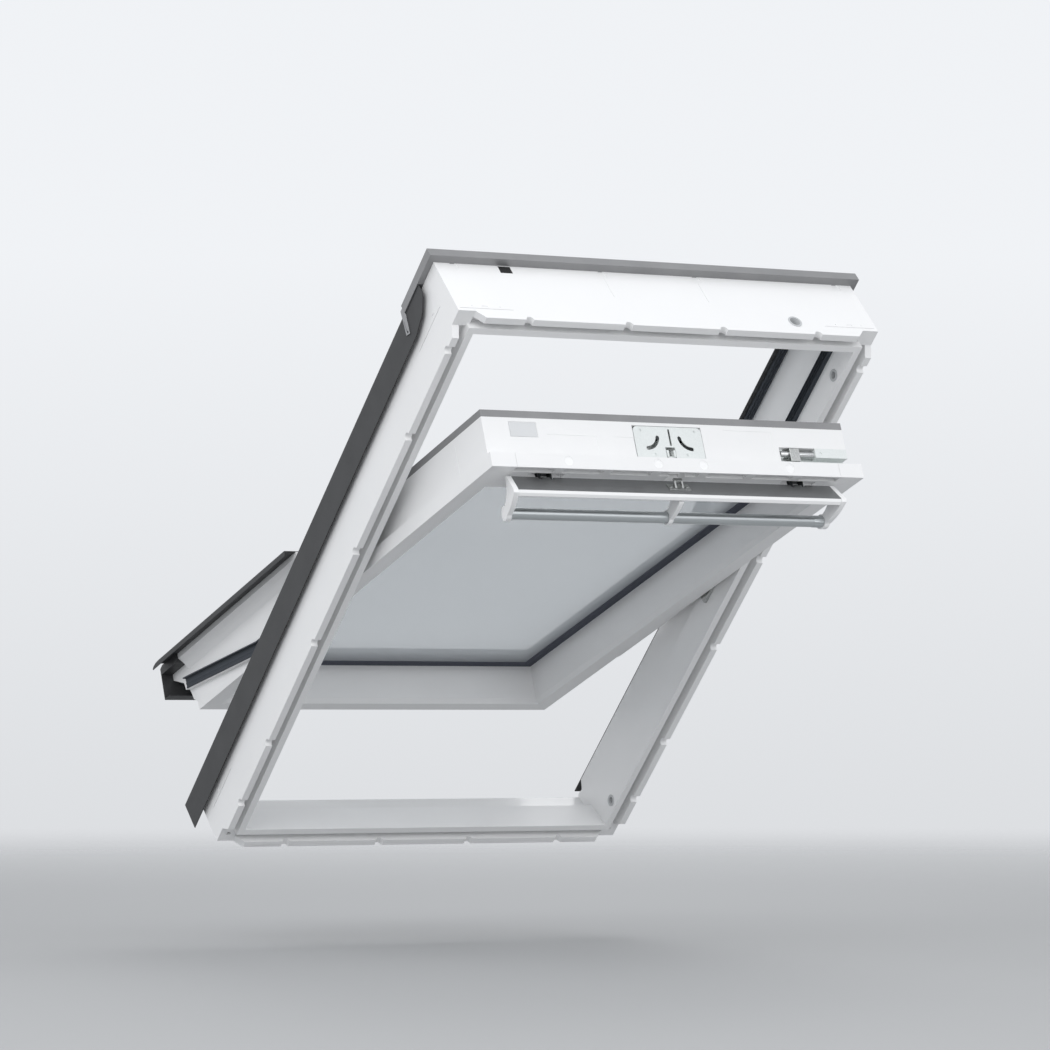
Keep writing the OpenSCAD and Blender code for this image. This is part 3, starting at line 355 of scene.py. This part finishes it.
@dataclass(frozen=True)
class GlassFinish:
    """Clear float glass with a faint tint, which lets light through.

    Attributes:
        name: The material's name.
        tint: Colour of the glass.
        haze: Largest roughness, where the glass was wiped.
    """

    name: str
    tint: Colour
    haze: float

    def material(self) -> bpy.types.Material:
        """Returns this finish as a material, making it the first time."""
        found = bpy.data.materials.get(self.name)
        return found if found else self.build()

    def build(self) -> bpy.types.Material:
        """Builds the material, with clear shadows."""
        made = bpy.data.materials.new(self.name)
        made.use_nodes = True
        tree = made.node_tree
        shader = tree.nodes["Principled BSDF"]
        chain = NodeChain(tree, -5)
        surface = chain.add("Group")
        surface.node_tree = GROUPS.get(Effect.MOULDED)
        surface.inputs["Scale"].default_value = 60.0
        wiped = chain.add("MapRange", Value=surface.outputs["Wear"], To_Min=0.0, To_Max=self.haze)
        tree.links.new(wiped.outputs[0], shader.inputs["Roughness"])
        shader.inputs["Base Color"].default_value = (*self.tint, 1.0)
        shader.inputs["Transmission Weight"].default_value = 1.0
        shader.inputs["IOR"].default_value = 1.5
        clear = chain.add("BsdfTransparent", Color=(*self.tint, 1.0))
        light = chain.add("LightPath")
        both = chain.add("MixShader", i0=light.outputs["Is Shadow Ray"],
                         i1=shader.outputs[0], i2=clear.outputs[0])
        tree.links.new(both.outputs[0], tree.nodes["Material Output"].inputs["Surface"])
        made.diffuse_color = (*self.tint, 0.35)
        return made


WHITE_SKIN = Finish("white_lacquer", (0.88, 0.88, 0.88), 0.015, (0.3, 0.38), Effect.MOULDED, 1400.0,
                    depth=0.000004, coat=0.2)
WHITE_PLASTIC = Finish("white_plastic", (0.87, 0.87, 0.865), 0.02, (0.32, 0.4), Effect.MOULDED, 1500.0,
                       depth=0.000004)
HOOD_PAINT = Finish("grey_hood_paint", (0.3, 0.3, 0.305), 0.12, (0.36, 0.5), Effect.CAST, 2200.0,
                    depth=0.00001, metallic=0.35)
CLADDING_PAINT = Finish("dark_cladding_paint", (0.052, 0.053, 0.055), 0.2, (0.4, 0.55), Effect.CAST, 2200.0,
                        depth=0.00001, metallic=0.2)
CLIP_METAL = Finish("clip_metal", (0.42, 0.42, 0.43), 0.2, (0.3, 0.45), Effect.BRUSHED, 1500.0, stretch=8.0,
                    depth=0.000006, metallic=0.9)
SEAL_RUBBER = Finish("seal_rubber", (0.022, 0.024, 0.028), 0.3, (0.5, 0.68), Effect.CAST, 3000.0)
GLAZING_RUBBER = Finish("glazing_rubber", (0.028, 0.034, 0.043), 0.25, (0.38, 0.55), Effect.CAST, 2600.0)
FOAM = Finish("open_foam", (0.02, 0.02, 0.021), 0.5, (0.8, 0.95), Effect.CAST, 900.0, depth=0.0003)
FILTER_FELT = Finish("filter_felt", (0.42, 0.42, 0.41), 0.3, (0.85, 0.95), Effect.CAST, 1200.0, depth=0.0004)
ZINC = Finish("zinc_plate", (0.6, 0.61, 0.6), 0.25, (0.26, 0.44), Effect.SPANGLE, 420.0, depth=0.000004,
              metallic=1.0)
LOCK_METAL = Finish("lock_plate_metal", (0.8, 0.83, 0.82), 0.06, (0.32, 0.44), Effect.SPANGLE, 600.0,
                    depth=0.000003, metallic=0.3)
DARK_STEEL = Finish("dark_steel", (0.07, 0.075, 0.078), 0.3, (0.3, 0.45), Effect.SPANGLE, 500.0,
                    depth=0.000004, metallic=1.0)
BOLT_METAL = Finish("bolt_metal", (0.66, 0.67, 0.67), 0.15, (0.14, 0.28), Effect.BRUSHED, 2500.0,
                    stretch=20.0, depth=0.000003, metallic=1.0)
BAR_ALUMINIUM = Finish("bar_anodised", (0.33, 0.335, 0.34), 0.1, (0.34, 0.46), Effect.BRUSHED, 1800.0,
                       stretch=60.0, depth=0.000005, metallic=0.8)
GRIP_ALUMINIUM = Finish("grip_anodised", (0.6, 0.63, 0.64), 0.1, (0.27, 0.38), Effect.BRUSHED, 1800.0,
                        stretch=60.0, depth=0.000005, metallic=0.85)
GROMMET = Finish("grommet_plastic", (0.3, 0.31, 0.32), 0.15, (0.4, 0.55), Effect.CAST, 2000.0)
LABEL = Finish("blank_label", (0.7, 0.71, 0.72), 0.04, (0.3, 0.4), Effect.MOULDED, 1200.0, depth=0.000005)
INNER_GLASS = GlassFinish("inner_glass", (0.965, 0.98, 0.985), 0.02)
OUTER_GLASS = GlassFinish("outer_glass", (0.95, 0.975, 0.98), 0.03)


# ---- Meshes -------------------------------------------------------------


def rounded(corners: Sequence[Point2], radius: float, steps: int = 4) -> list[Point2]:
    """Rounds the corners of an outline.

    Args:
        corners: The outline's corners, in order.
        radius: Radius wanted, made smaller on short sides.
        steps: Stretches in each rounded corner.

    Returns:
        The rounded outline.
    """
    made: list[Point2] = []
    count = len(corners)
    for i, corner in enumerate(corners):
        here = Vector(corner)
        before = Vector(corners[i - 1]) - here
        after = Vector(corners[(i + 1) % count]) - here
        reach = min(radius, 0.45 * before.length, 0.45 * after.length)
        start = here + before.normalized() * reach
        end = here + after.normalized() * reach
        for k in range(steps + 1):
            t = k / steps
            point = start * (1 - t) ** 2 + here * 2 * t * (1 - t) + end * t ** 2
            made.append((point.x, point.y))
    return made


def arc(centre: Point2, radius: float, first: float, last: float, steps: int = 16) -> list[Point2]:
    """Returns points on an arc, with its angles in degrees."""
    angles = [math.radians(first + (last - first) * i / steps) for i in range(steps + 1)]
    return [(centre[0] + radius * math.cos(a), centre[1] + radius * math.sin(a)) for a in angles]


def add_object(name: str, mesh: bmesh.types.BMesh, turn: Matrix, smooth: float = 40.0) -> bpy.types.Object:
    """Makes an object from a mesh drawn in local axes.

    Args:
        name: The new piece's name.
        mesh: The mesh, which is freed.
        turn: The turn and shift from the local axes to the row's.
        smooth: Edges flatter than this angle in degrees are shaded smooth.

    Returns:
        The new object.
    """
    bmesh.ops.recalc_face_normals(mesh, faces=mesh.faces)
    data = bpy.data.meshes.new(name)
    mesh.to_mesh(data)
    mesh.free()
    data.transform(turn)
    piece = bpy.data.objects.new(name, data)
    bpy.context.scene.collection.objects.link(piece)
    data.shade_smooth()
    data.set_sharp_from_angle(angle=math.radians(smooth))
    return piece


def add_prism(mesh: bmesh.types.BMesh, outline: Sequence[Point2], span: Span,
              place: Callable[[float, float, float], Vector]) -> None:
    """Adds a closed prism to a mesh.

    Args:
        mesh: The mesh to add to.
        outline: The section's outline.
        span: Where the prism starts and ends along its length.
        place: Turns (along, first, second) into a local point.
    """
    rings = [[mesh.verts.new(place(t, a, b)) for a, b in outline] for t in span]
    for i in range(len(outline)):
        j = (i + 1) % len(outline)
        mesh.faces.new((rings[0][i], rings[0][j], rings[1][j], rings[1][i]))
    for ring in rings:
        mesh.faces.new(ring)


def along_x(t: float, a: float, b: float) -> Vector:
    """Places a section that runs across the window."""
    return Vector((t, a, b))


def along_y(t: float, a: float, b: float) -> Vector:
    """Places a section that runs outwards."""
    return Vector((a, t, b))


def along_z(t: float, a: float, b: float) -> Vector:
    """Places a section that runs up the slope."""
    return Vector((a, b, t))


@dataclass(frozen=True)
class Turned:
    """A turned shape: rings from one end to the other.

    Attributes:
        rings: Height and radius of each ring.
        lobes: Number of lobes of the rings listed in lobed.
        lobed: Indexes of the rings that have lobes.
        swell: How far the lobes stand out, as a share of the radius.
        sides: Points in each ring.
    """

    rings: Sequence[Span]
    lobes: int = 6
    lobed: Sequence[int] = ()
    swell: float = 0.16
    sides: int = 36

    def add_to(self, mesh: bmesh.types.BMesh, place: Callable[[float, float, float], Vector],
               centre: Point2) -> None:
        """Adds the shape to a mesh.

        Args:
            mesh: The mesh to add to.
            place: Turns (along, first, second) into a local point.
            centre: The axis, in the first and second directions.
        """
        made = []
        for index, (height, radius) in enumerate(self.rings):
            ring = []
            for k in range(self.sides):
                angle = 2 * math.pi * k / self.sides
                wave = self.swell * math.cos(self.lobes * angle) if index in self.lobed else 0.0
                reach = radius * (1 + wave)
                ring.append(mesh.verts.new(place(height, centre[0] + reach * math.cos(angle),
                                                 centre[1] + reach * math.sin(angle))))
            made.append(ring)
        for low, high in zip(made, made[1:]):
            for k in range(self.sides):
                n = (k + 1) % self.sides
                mesh.faces.new((low[k], low[n], high[n], high[k]))
        mesh.faces.new(made[0])
        mesh.faces.new(made[-1])


def screw_head(radius: float, low: float, high: float) -> Turned:
    """A domed screw head with a six-lobed recess, between two heights."""
    depth = high - low
    return Turned([(low, radius), (high - 0.45 * depth, radius), (high - 0.15 * depth, 0.92 * radius),
                   (high, 0.72 * radius), (high, 0.5 * radius), (low + 0.3 * depth, 0.44 * radius),
                   (low + 0.3 * depth, 0.1 * radius)], lobed=(4, 5))


# ---- Dressing -----------------------------------------------------------


def dress(node: str, finish: Finish | GlassFinish, edge: float = 0.0, segments: int = 2) -> None:
    """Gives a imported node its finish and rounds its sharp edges.

    Args:
        node: The node's name.
        finish: Its finish.
        edge: Width of the rounding, or 0 for none.
        segments: Stretches across each rounded edge.
    """
    piece = frame["nodes"][node]
    piece.data.materials.clear()
    piece.data.materials.append(finish.material())
    if edge > 0:
        weld = piece.modifiers.new("weld", "WELD")
        weld.merge_threshold = WELD_DISTANCE
        bevel = piece.modifiers.new("edge", "BEVEL")
        bevel.width = edge
        bevel.segments = segments
        bevel.limit_method = "ANGLE"
        bevel.angle_limit = BEVEL_ANGLE
        bevel.use_clamp_overlap = True
        bevel.harden_normals = True
    LOG.info("dressed %s in %s", node, finish.name)


def settle(piece: bpy.types.Object, body: str, finish: Finish, stands_for: str = "") -> None:
    """Finishes an added piece.

    Args:
        piece: The piece.
        body: The body it rides on.
        finish: Its finish.
        stands_for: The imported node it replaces, if any.
    """
    piece.data.materials.append(finish.material())
    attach(piece, body)
    if stands_for:
        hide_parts(stands_for)
    LOG.info("made %s", piece.name)


# ---- Sub-assemblies -----------------------------------------------------


@dataclass
class FrameUnit:
    """The fixed frame: its casing, seals, hardware and covers.

    Attributes:
        casing_edge: Rounding of the moulded edges.
        sheet_edge: Rounding of the folded sheet's edges.
        lip_count: Lips on each ribbed side seal.
    """

    casing_edge: float = 1.6 * MM
    sheet_edge: float = 0.5 * MM
    lip_count: int = 4
    axes: Axes = field(default_factory=lambda: AXES[Part.FRAME])

    def build(self) -> None:
        """Builds and dresses everything on the frame."""
        dress("frame_casing", WHITE_SKIN, self.casing_edge, 3)
        self.covers()
        self.hardware()
        for side in ("left", "right"):
            self.side_seal(side)
            dress(f"outer_seal_{side}", SEAL_RUBBER, 0.3 * MM)
        self.head_seal()
        self.screws()

    def covers(self) -> None:
        """Dresses the metal covers."""
        dress("top_hood", HOOD_PAINT, self.sheet_edge)
        dress("hood_clips", CLIP_METAL, 0.3 * MM)
        for side in ("left", "right"):
            dress(f"side_cladding_{side}", CLADDING_PAINT, self.sheet_edge)
            dress(f"side_cover_{side}", CLADDING_PAINT, self.sheet_edge)

    def hardware(self) -> None:
        """Dresses the pivots, bushes, keeper, grommet and foam."""
        for side in ("left", "right"):
            dress(f"hinge_plate_{side}", ZINC, 0.5 * MM)
        dress("pivot_pins", BOLT_METAL, 0.4 * MM)
        dress("bolt_bushes", GROMMET, 0.3 * MM)
        dress("striker_plate", ZINC, 0.4 * MM)
        dress("cable_grommet", GROMMET, 0.3 * MM)
        dress("foam_pad", FOAM, 0.5 * MM)

    def side_seal(self, side: str) -> None:
        """Makes a ribbed seal on a side rail's inner face."""
        node = f"frame_gasket_{side}"
        low, high = self.axes.box(node)
        sign = 1.0 if side == "right" else -1.0
        wall = high.x if side == "right" else low.x
        reach = high.x - low.x
        pitch = (high.y - low.y) / self.lip_count
        outline: list[Point2] = [(wall, low.y), (wall, high.y)]
        for i in reversed(range(self.lip_count)):
            middle = low.y + (i + 0.5) * pitch
            root = wall - sign * 0.35 * reach
            tip = wall - sign * reach
            outline += [(root, middle + 0.42 * pitch), (tip + sign * 0.12 * reach, middle + 0.2 * pitch),
                        (tip, middle - 0.05 * pitch), (tip + sign * 0.25 * reach, middle - 0.12 * pitch),
                        (root, middle - 0.1 * pitch)]
        mesh = bmesh.new()
        add_prism(mesh, rounded(outline, 0.4 * MM, 2), (low.z, high.z), along_z)
        piece = add_object(f"side_seal_{side}", mesh, self.axes.matrix())
        settle(piece, "frame", SEAL_RUBBER, node)

    def head_seal(self) -> None:
        """Makes the bulb seal on the head stop."""
        low, high = self.axes.box("frame_gasket_top")
        base = high.y
        bulb = 0.5 * (high.z - low.z)
        middle = low.z + 0.4 * (high.z - low.z)
        section = [(base, high.z), (base - 1.2 * MM, high.z), (base - 1.2 * MM, middle + 0.5 * bulb)]
        section += arc((low.y + 0.42 * bulb, middle), 0.42 * bulb, 60, 300, 14)
        section += [(base - 1.2 * MM, middle - 0.5 * bulb), (base - 1.2 * MM, low.z), (base, low.z)]
        mesh = bmesh.new()
        add_prism(mesh, section, (low.x, high.x), along_x)
        piece = add_object("head_seal", mesh, self.axes.matrix())
        settle(piece, "frame", SEAL_RUBBER, "frame_gasket_top")

    def screws(self) -> None:
        """Makes the screws in the lining grooves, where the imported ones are."""
        mesh = bmesh.new()
        for low, high in islands("frame_screws", self.axes):
            radius = 0.5 * (high.x - low.x)
            centre = (0.5 * (low.x + high.x), 0.5 * (low.z + high.z))
            screw_head(radius, high.y, low.y).add_to(mesh, along_y, centre)
        piece = add_object("lining_screws", mesh, self.axes.matrix(), 30)
        settle(piece, "frame", ZINC, "frame_screws")


def islands(node: str, axes: Axes) -> list[tuple[Vector, Vector]]:
    """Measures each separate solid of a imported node.

    Args:
        node: The node's name.
        axes: The axes to measure in.

    Returns:
        The lowest and highest corners of each, in the order of their x.
    """
    back = axes.matrix().to_3x3().transposed()
    mesh = bmesh.new()
    mesh.from_mesh(frame["nodes"][node].data)
    bmesh.ops.remove_doubles(mesh, verts=mesh.verts, dist=SAME_PLACE)
    left = set(mesh.verts)
    found = []
    while left:
        group, edge = set(), [left.pop()]
        while edge:
            vert = edge.pop()
            group.add(vert)
            for link in vert.link_edges:
                other = link.other_vert(vert)
                if other in left:
                    left.discard(other)
                    edge.append(other)
        places = [back @ v.co for v in group]
        low = Vector([min(p[i] for p in places) for i in range(3)])
        high = Vector([max(p[i] for p in places) for i in range(3)])
        found.append((low, high))
    mesh.free()
    return sorted(found, key=lambda pair: tuple(round(c, 5) for c in pair[0]))


@dataclass
class SashUnit:
    """The glazed sash: its casing, glass, seals, covers and locks.

    Attributes:
        casing_edge: Rounding of the moulded edges.
        sheet_edge: Rounding of the folded sheet's edges.
        pleat_pitch: Distance from one pleat of the filter to the next.
        pleat_depth: Depth of the filter's pleats.
    """

    casing_edge: float = 1.4 * MM
    sheet_edge: float = 0.5 * MM
    pleat_pitch: float = 6 * MM
    pleat_depth: float = 2.5 * MM
    axes: Axes = field(default_factory=lambda: AXES[Part.SASH])

    def build(self) -> None:
        """Builds and dresses everything on the sash."""
        dress("sash_casing", WHITE_SKIN, self.casing_edge, 3)
        dress("vent_profile", WHITE_SKIN, 0.7 * MM)
        dress("data_plate", LABEL)
        self.filter()
        self.plugs()
        self.glazing()
        self.covers()
        self.seals()
        self.hinges()

    def filter(self) -> None:
        """Makes the pleated filter behind the vent slots."""
        low, high = self.axes.box("vent_filter")
        count = int((high.x - low.x) / self.pleat_pitch)
        step = (high.x - low.x) / count
        front = [(low.x + i * step * 0.5, low.y + (self.pleat_depth if i % 2 else 0.0))
                 for i in range(2 * count + 1)]
        outline = front + [(high.x, high.y), (low.x, high.y)]
        mesh = bmesh.new()
        add_prism(mesh, outline, (low.z, high.z), along_z)
        piece = add_object("pleated_filter", mesh, self.axes.matrix())
        settle(piece, "sash", FILTER_FELT, "vent_filter")

    def plugs(self) -> None:
        """Makes the dished plugs in the head's lip."""
        mesh = bmesh.new()
        for low, high in islands("lip_plugs", self.axes):
            radius = 0.5 * (high.x - low.x)
            centre = (0.5 * (low.x + high.x), 0.5 * (low.y + high.y))
            shape = Turned([(low.z, radius), (high.z - 0.3 * MM, radius), (high.z, 0.95 * radius),
                            (high.z, 0.8 * radius), (high.z - 0.35 * MM, 0.76 * radius),
                            (high.z - 0.35 * MM, 0.1 * radius)])
            shape.add_to(mesh, along_z, centre)
        piece = add_object("dished_plugs", mesh, self.axes.matrix(), 30)
        settle(piece, "sash", WHITE_PLASTIC, "lip_plugs")

    def glazing(self) -> None:
        """Dresses the panes, the spacer and their seals."""
        dress("inner_pane", INNER_GLASS)
        dress("outer_pane", OUTER_GLASS)
        dress("glass_spacer", GLAZING_RUBBER)
        dress("glazing_gasket", GLAZING_RUBBER, 0.25 * MM)
        dress("glass_seal", SEAL_RUBBER, 0.3 * MM)

    def covers(self) -> None:
        """Dresses the metal covers."""
        for side in ("left", "right"):
            dress(f"sash_cover_{side}", HOOD_PAINT, self.sheet_edge)
            dress(f"lower_cover_{side}", CLADDING_PAINT, self.sheet_edge)
        dress("sash_cover_top", HOOD_PAINT, self.sheet_edge)
        dress("sash_cover_bottom", CLADDING_PAINT, self.sheet_edge)

    def seals(self) -> None:
        """Dresses the inclined side seals and the bottom seal."""
        for name in ("left", "right", "bottom"):
            dress(f"sash_gasket_{name}", SEAL_RUBBER, 0.4 * MM)

    def hinges(self) -> None:
        """Dresses the sash's hinge plates and makes their screws."""
        for side in ("left", "right"):
            dress(f"sash_plate_{side}", ZINC, 0.5 * MM)
        mesh = bmesh.new()
        for low, high in islands("plate_screws", self.axes):
            radius = 0.5 * (high.y - low.y)
            centre = (0.5 * (low.y + high.y), 0.5 * (low.z + high.z))
            ends = (low.x, high.x) if low.x > 0 else (high.x, low.x)
            screw_head(radius, *ends).add_to(mesh, along_x, centre)
        piece = add_object("hinge_screws", mesh, self.axes.matrix(), 30)
        settle(piece, "sash", ZINC, "plate_screws")


@dataclass
class LockUnit:
    """The lock case, its jaws and hook, and the barrel bolt."""

    axes: Axes = field(default_factory=lambda: AXES[Part.SASH])

    def build(self) -> None:
        """Builds and dresses the locks."""
        dress("lock_case", LOCK_METAL, 0.4 * MM)
        dress("lock_hook", LOCK_METAL, 0.3 * MM)
        dress("bolt_case", LOCK_METAL, 0.4 * MM)
        dress("barrel_bolt", BOLT_METAL, 0.8 * MM, 3)
        dress("bolt_knob", ZINC, 0.8 * MM, 3)
        for side in ("left", "right"):
            dress(f"latch_jaw_{side}", DARK_STEEL, 0.4 * MM)
        dress("bar_brackets", DARK_STEEL, 0.4 * MM)
        self.screws()

    def screws(self) -> None:
        """Makes the lock case's screws."""
        mesh = bmesh.new()
        for low, high in islands("lock_screws", self.axes):
            radius = 0.5 * (high.x - low.x)
            centre = (0.5 * (low.x + high.x), 0.5 * (low.y + high.y))
            screw_head(radius, low.z, high.z).add_to(mesh, along_z, centre)
        piece = add_object("lock_case_screws", mesh, self.axes.matrix(), 30)
        settle(piece, "sash", LOCK_METAL, "lock_screws")


@dataclass
class ControlBar:
    """The control bar: plate, nose, caps, support, grip and link.

    Attributes:
        grooves: Grooves round the grip's sleeve at the right end.
        sleeve: Length of the grooved sleeve.
        sleeve_end: Distance from the sleeve to the tube's end.
        end_round: Rounding of the tube's ends.
        tube_inset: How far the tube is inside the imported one.
    """

    grooves: int = 12
    sleeve: float = 17 * MM
    sleeve_end: float = 6 * MM
    end_round: float = 1.2 * MM
    tube_inset: float = 0.35 * MM
    axes: Axes = field(default_factory=lambda: AXES[Part.SASH])

    def build(self) -> None:
        """Builds and dresses the bar."""
        dress("bar_plate", BAR_ALUMINIUM, 0.6 * MM, 3)
        dress("bar_nose", WHITE_PLASTIC, 1.6 * MM, 4)
        for side in ("left", "right"):
            dress(f"bar_cap_{side}", WHITE_PLASTIC, 1.1 * MM, 3)
        dress("bar_support", WHITE_PLASTIC, 0.9 * MM, 3)
        dress("bar_link", ZINC, 0.4 * MM)
        self.grip()

    def grip(self) -> None:
        """Makes the grip tube with its grooved sleeve."""
        low, high = self.axes.box("bar_grip")
        radius = 0.5 * (high.y - low.y)
        centre = (0.5 * (low.y + high.y), 0.5 * (low.z + high.z))
        end, side = radius - self.end_round, radius - self.tube_inset
        tube = Turned([(low.x, end), (low.x, side), (high.x, side), (high.x, end)], sides=64)
        mesh = bmesh.new()
        tube.add_to(mesh, along_x, centre)
        piece = add_object("grip_tube", mesh, self.axes.matrix())
        settle(piece, "control_bar", GRIP_ALUMINIUM, "bar_grip")
        start = high.x - self.sleeve - self.sleeve_end
        sleeve = Turned([(start, radius - 0.6 * MM), (start + 1.0 * MM, radius - 0.1 * MM),
                         (start + self.sleeve, radius - 0.1 * MM),
                         (start + self.sleeve + 0.6 * MM, radius - 0.6 * MM)],
                        lobes=self.grooves, lobed=(1, 2), swell=0.035, sides=self.grooves * 8)
        mesh = bmesh.new()
        sleeve.add_to(mesh, along_x, centre)
        piece = add_object("grip_sleeve", mesh, self.axes.matrix(), 30)
        settle(piece, "control_bar", GRIP_ALUMINIUM)


# ---- Studio -------------------------------------------------------------


@dataclass(frozen=True)
class Softbox:
    """A square light that looks at the window.

    Attributes:
        name: The light's name.
        place: Where it is.
        size: Its side.
        power: Its power in watts.
    """

    name: str
    place: tuple[float, float, float]
    size: float
    power: float

    def build(self) -> None:
        """Places the light."""
        data = bpy.data.lights.new(self.name, "AREA")
        data.size = self.size
        data.energy = self.power
        lamp = bpy.data.objects.new(self.name, data)
        lamp.location = self.place
        lamp.rotation_euler = (-Vector(self.place)).to_track_quat("-Z", "Y").to_euler()
        bpy.context.scene.collection.objects.link(lamp)


SOFTBOXES = (
    Softbox("key", (-3.4, -2.4, 2.6), 2.6, 60.0),
    Softbox("front", (0.9, -5.0, 1.6), 3.0, 35.0),
    Softbox("back", (2.5, 3.6, 3.0), 2.2, 40.0),
)


@dataclass(frozen=True)
class Studio:
    """Floor, light and camera.

    Attributes:
        floor_drop: How far the floor is under the window.
        floor_radius: Radius of the floor.
        fade_start: Distance at which the floor starts to fade out.
        floor_colour: Colour of the floor.
        sky_colour: Colour of the surroundings.
        sky_heights: Heights of the view between which the sky brightens.
        sky_strengths: Strength at each of these heights.
        azimuth: The camera's direction round the window, in degrees.
        elevation: The camera's height above the horizon, in degrees.
        lens: Focal length, in millimetres.
        eye: The camera's place.
    """

    floor_drop: float = 0.16
    floor_radius: float = 9.0
    fade_start: float = 2.2
    floor_colour: Colour = (0.36, 0.365, 0.37)
    sky_colour: Colour = (0.95, 0.97, 1.0)
    sky_heights: Span = (-0.3, 0.1)
    sky_strengths: Span = (0.4, 0.92)
    azimuth: float = -30.08
    elevation: float = -2.45
    lens: float = 157.84
    eye: tuple[float, float, float] = (-3.8383, -6.5733, -0.2163)

    def build(self) -> None:
        """Builds the whole studio."""
        self.floor()
        self.world()
        for lamp in SOFTBOXES:
            lamp.build()
        self.camera()

    def floor(self) -> None:
        """Makes the plain pale floor, which fades out far away."""
        height = CAD_BOX[0].z - self.floor_drop
        mesh = bmesh.new()
        bmesh.ops.create_circle(mesh, cap_ends=True, segments=96, radius=self.floor_radius)
        piece = add_object("floor", mesh, Matrix.Translation((0.0, 0.0, height)))
        piece.data.materials.append(self.floor_material())

    def floor_material(self) -> bpy.types.Material:
        """Builds the floor's material."""
        made = bpy.data.materials.new("pale_floor")
        made.use_nodes = True
        tree = made.node_tree
        shader = tree.nodes["Principled BSDF"]
        chain = NodeChain(tree, -5)
        place = chain.add("TexCoord").outputs["Object"]
        reach = chain.add("VectorMath", i0=place)
        reach.operation = "LENGTH"
        fade = chain.add("MapRange", Value=reach.outputs["Value"], From_Min=self.fade_start,
                         From_Max=self.floor_radius, To_Min=1.0, To_Max=0.0)
        fade.interpolation_type = "SMOOTHSTEP"
        tree.links.new(fade.outputs[0], shader.inputs["Alpha"])
        shader.inputs["Base Color"].default_value = (*self.floor_colour, 1.0)
        shader.inputs["Roughness"].default_value = 0.7
        return made

    def world(self) -> None:
        """Makes the pale surroundings, brighter overhead."""
        world = bpy.data.worlds.new("studio")
        world.use_nodes = True
        back = world.node_tree.nodes["Background"]
        chain = NodeChain(world.node_tree, -5)
        height = chain.add("SeparateXYZ", Vector=chain.add("TexCoord").outputs["Generated"]).outputs["Z"]
        rise = chain.add("MapRange", Value=height,
                         From_Min=self.sky_heights[0], From_Max=self.sky_heights[1],
                         To_Min=self.sky_strengths[0], To_Max=self.sky_strengths[1])
        back.inputs["Color"].default_value = (*self.sky_colour, 1.0)
        world.node_tree.links.new(rise.outputs[0], back.inputs["Strength"])
        bpy.context.scene.world = world

    def camera(self) -> None:
        """Places the camera."""
        data = bpy.data.cameras.new("camera")
        data.lens = self.lens
        data.sensor_width = 36.0
        turn, lift = math.radians(self.azimuth), math.radians(self.elevation)
        back = Vector((math.sin(turn) * math.cos(lift), -math.cos(turn) * math.cos(lift), math.sin(lift)))
        eye = bpy.data.objects.new("camera", data)
        eye.location = self.eye
        eye.rotation_euler = (-back).to_track_quat("-Z", "Y").to_euler()
        bpy.context.scene.collection.objects.link(eye)
        bpy.context.scene.camera = eye


def main() -> None:
    logging.basicConfig(level=logging.INFO, format="%(name)s: %(message)s")
    units = (FrameUnit(), SashUnit(), LockUnit(), ControlBar())
    for unit in units:
        LOG.info("building %s", type(unit).__name__)
        unit.build()
    Studio().build()
    bpy.context.scene.view_settings.view_transform = "Standard"
    bpy.context.scene.cycles.use_denoising = True


if __name__ == "__main__":
    main()
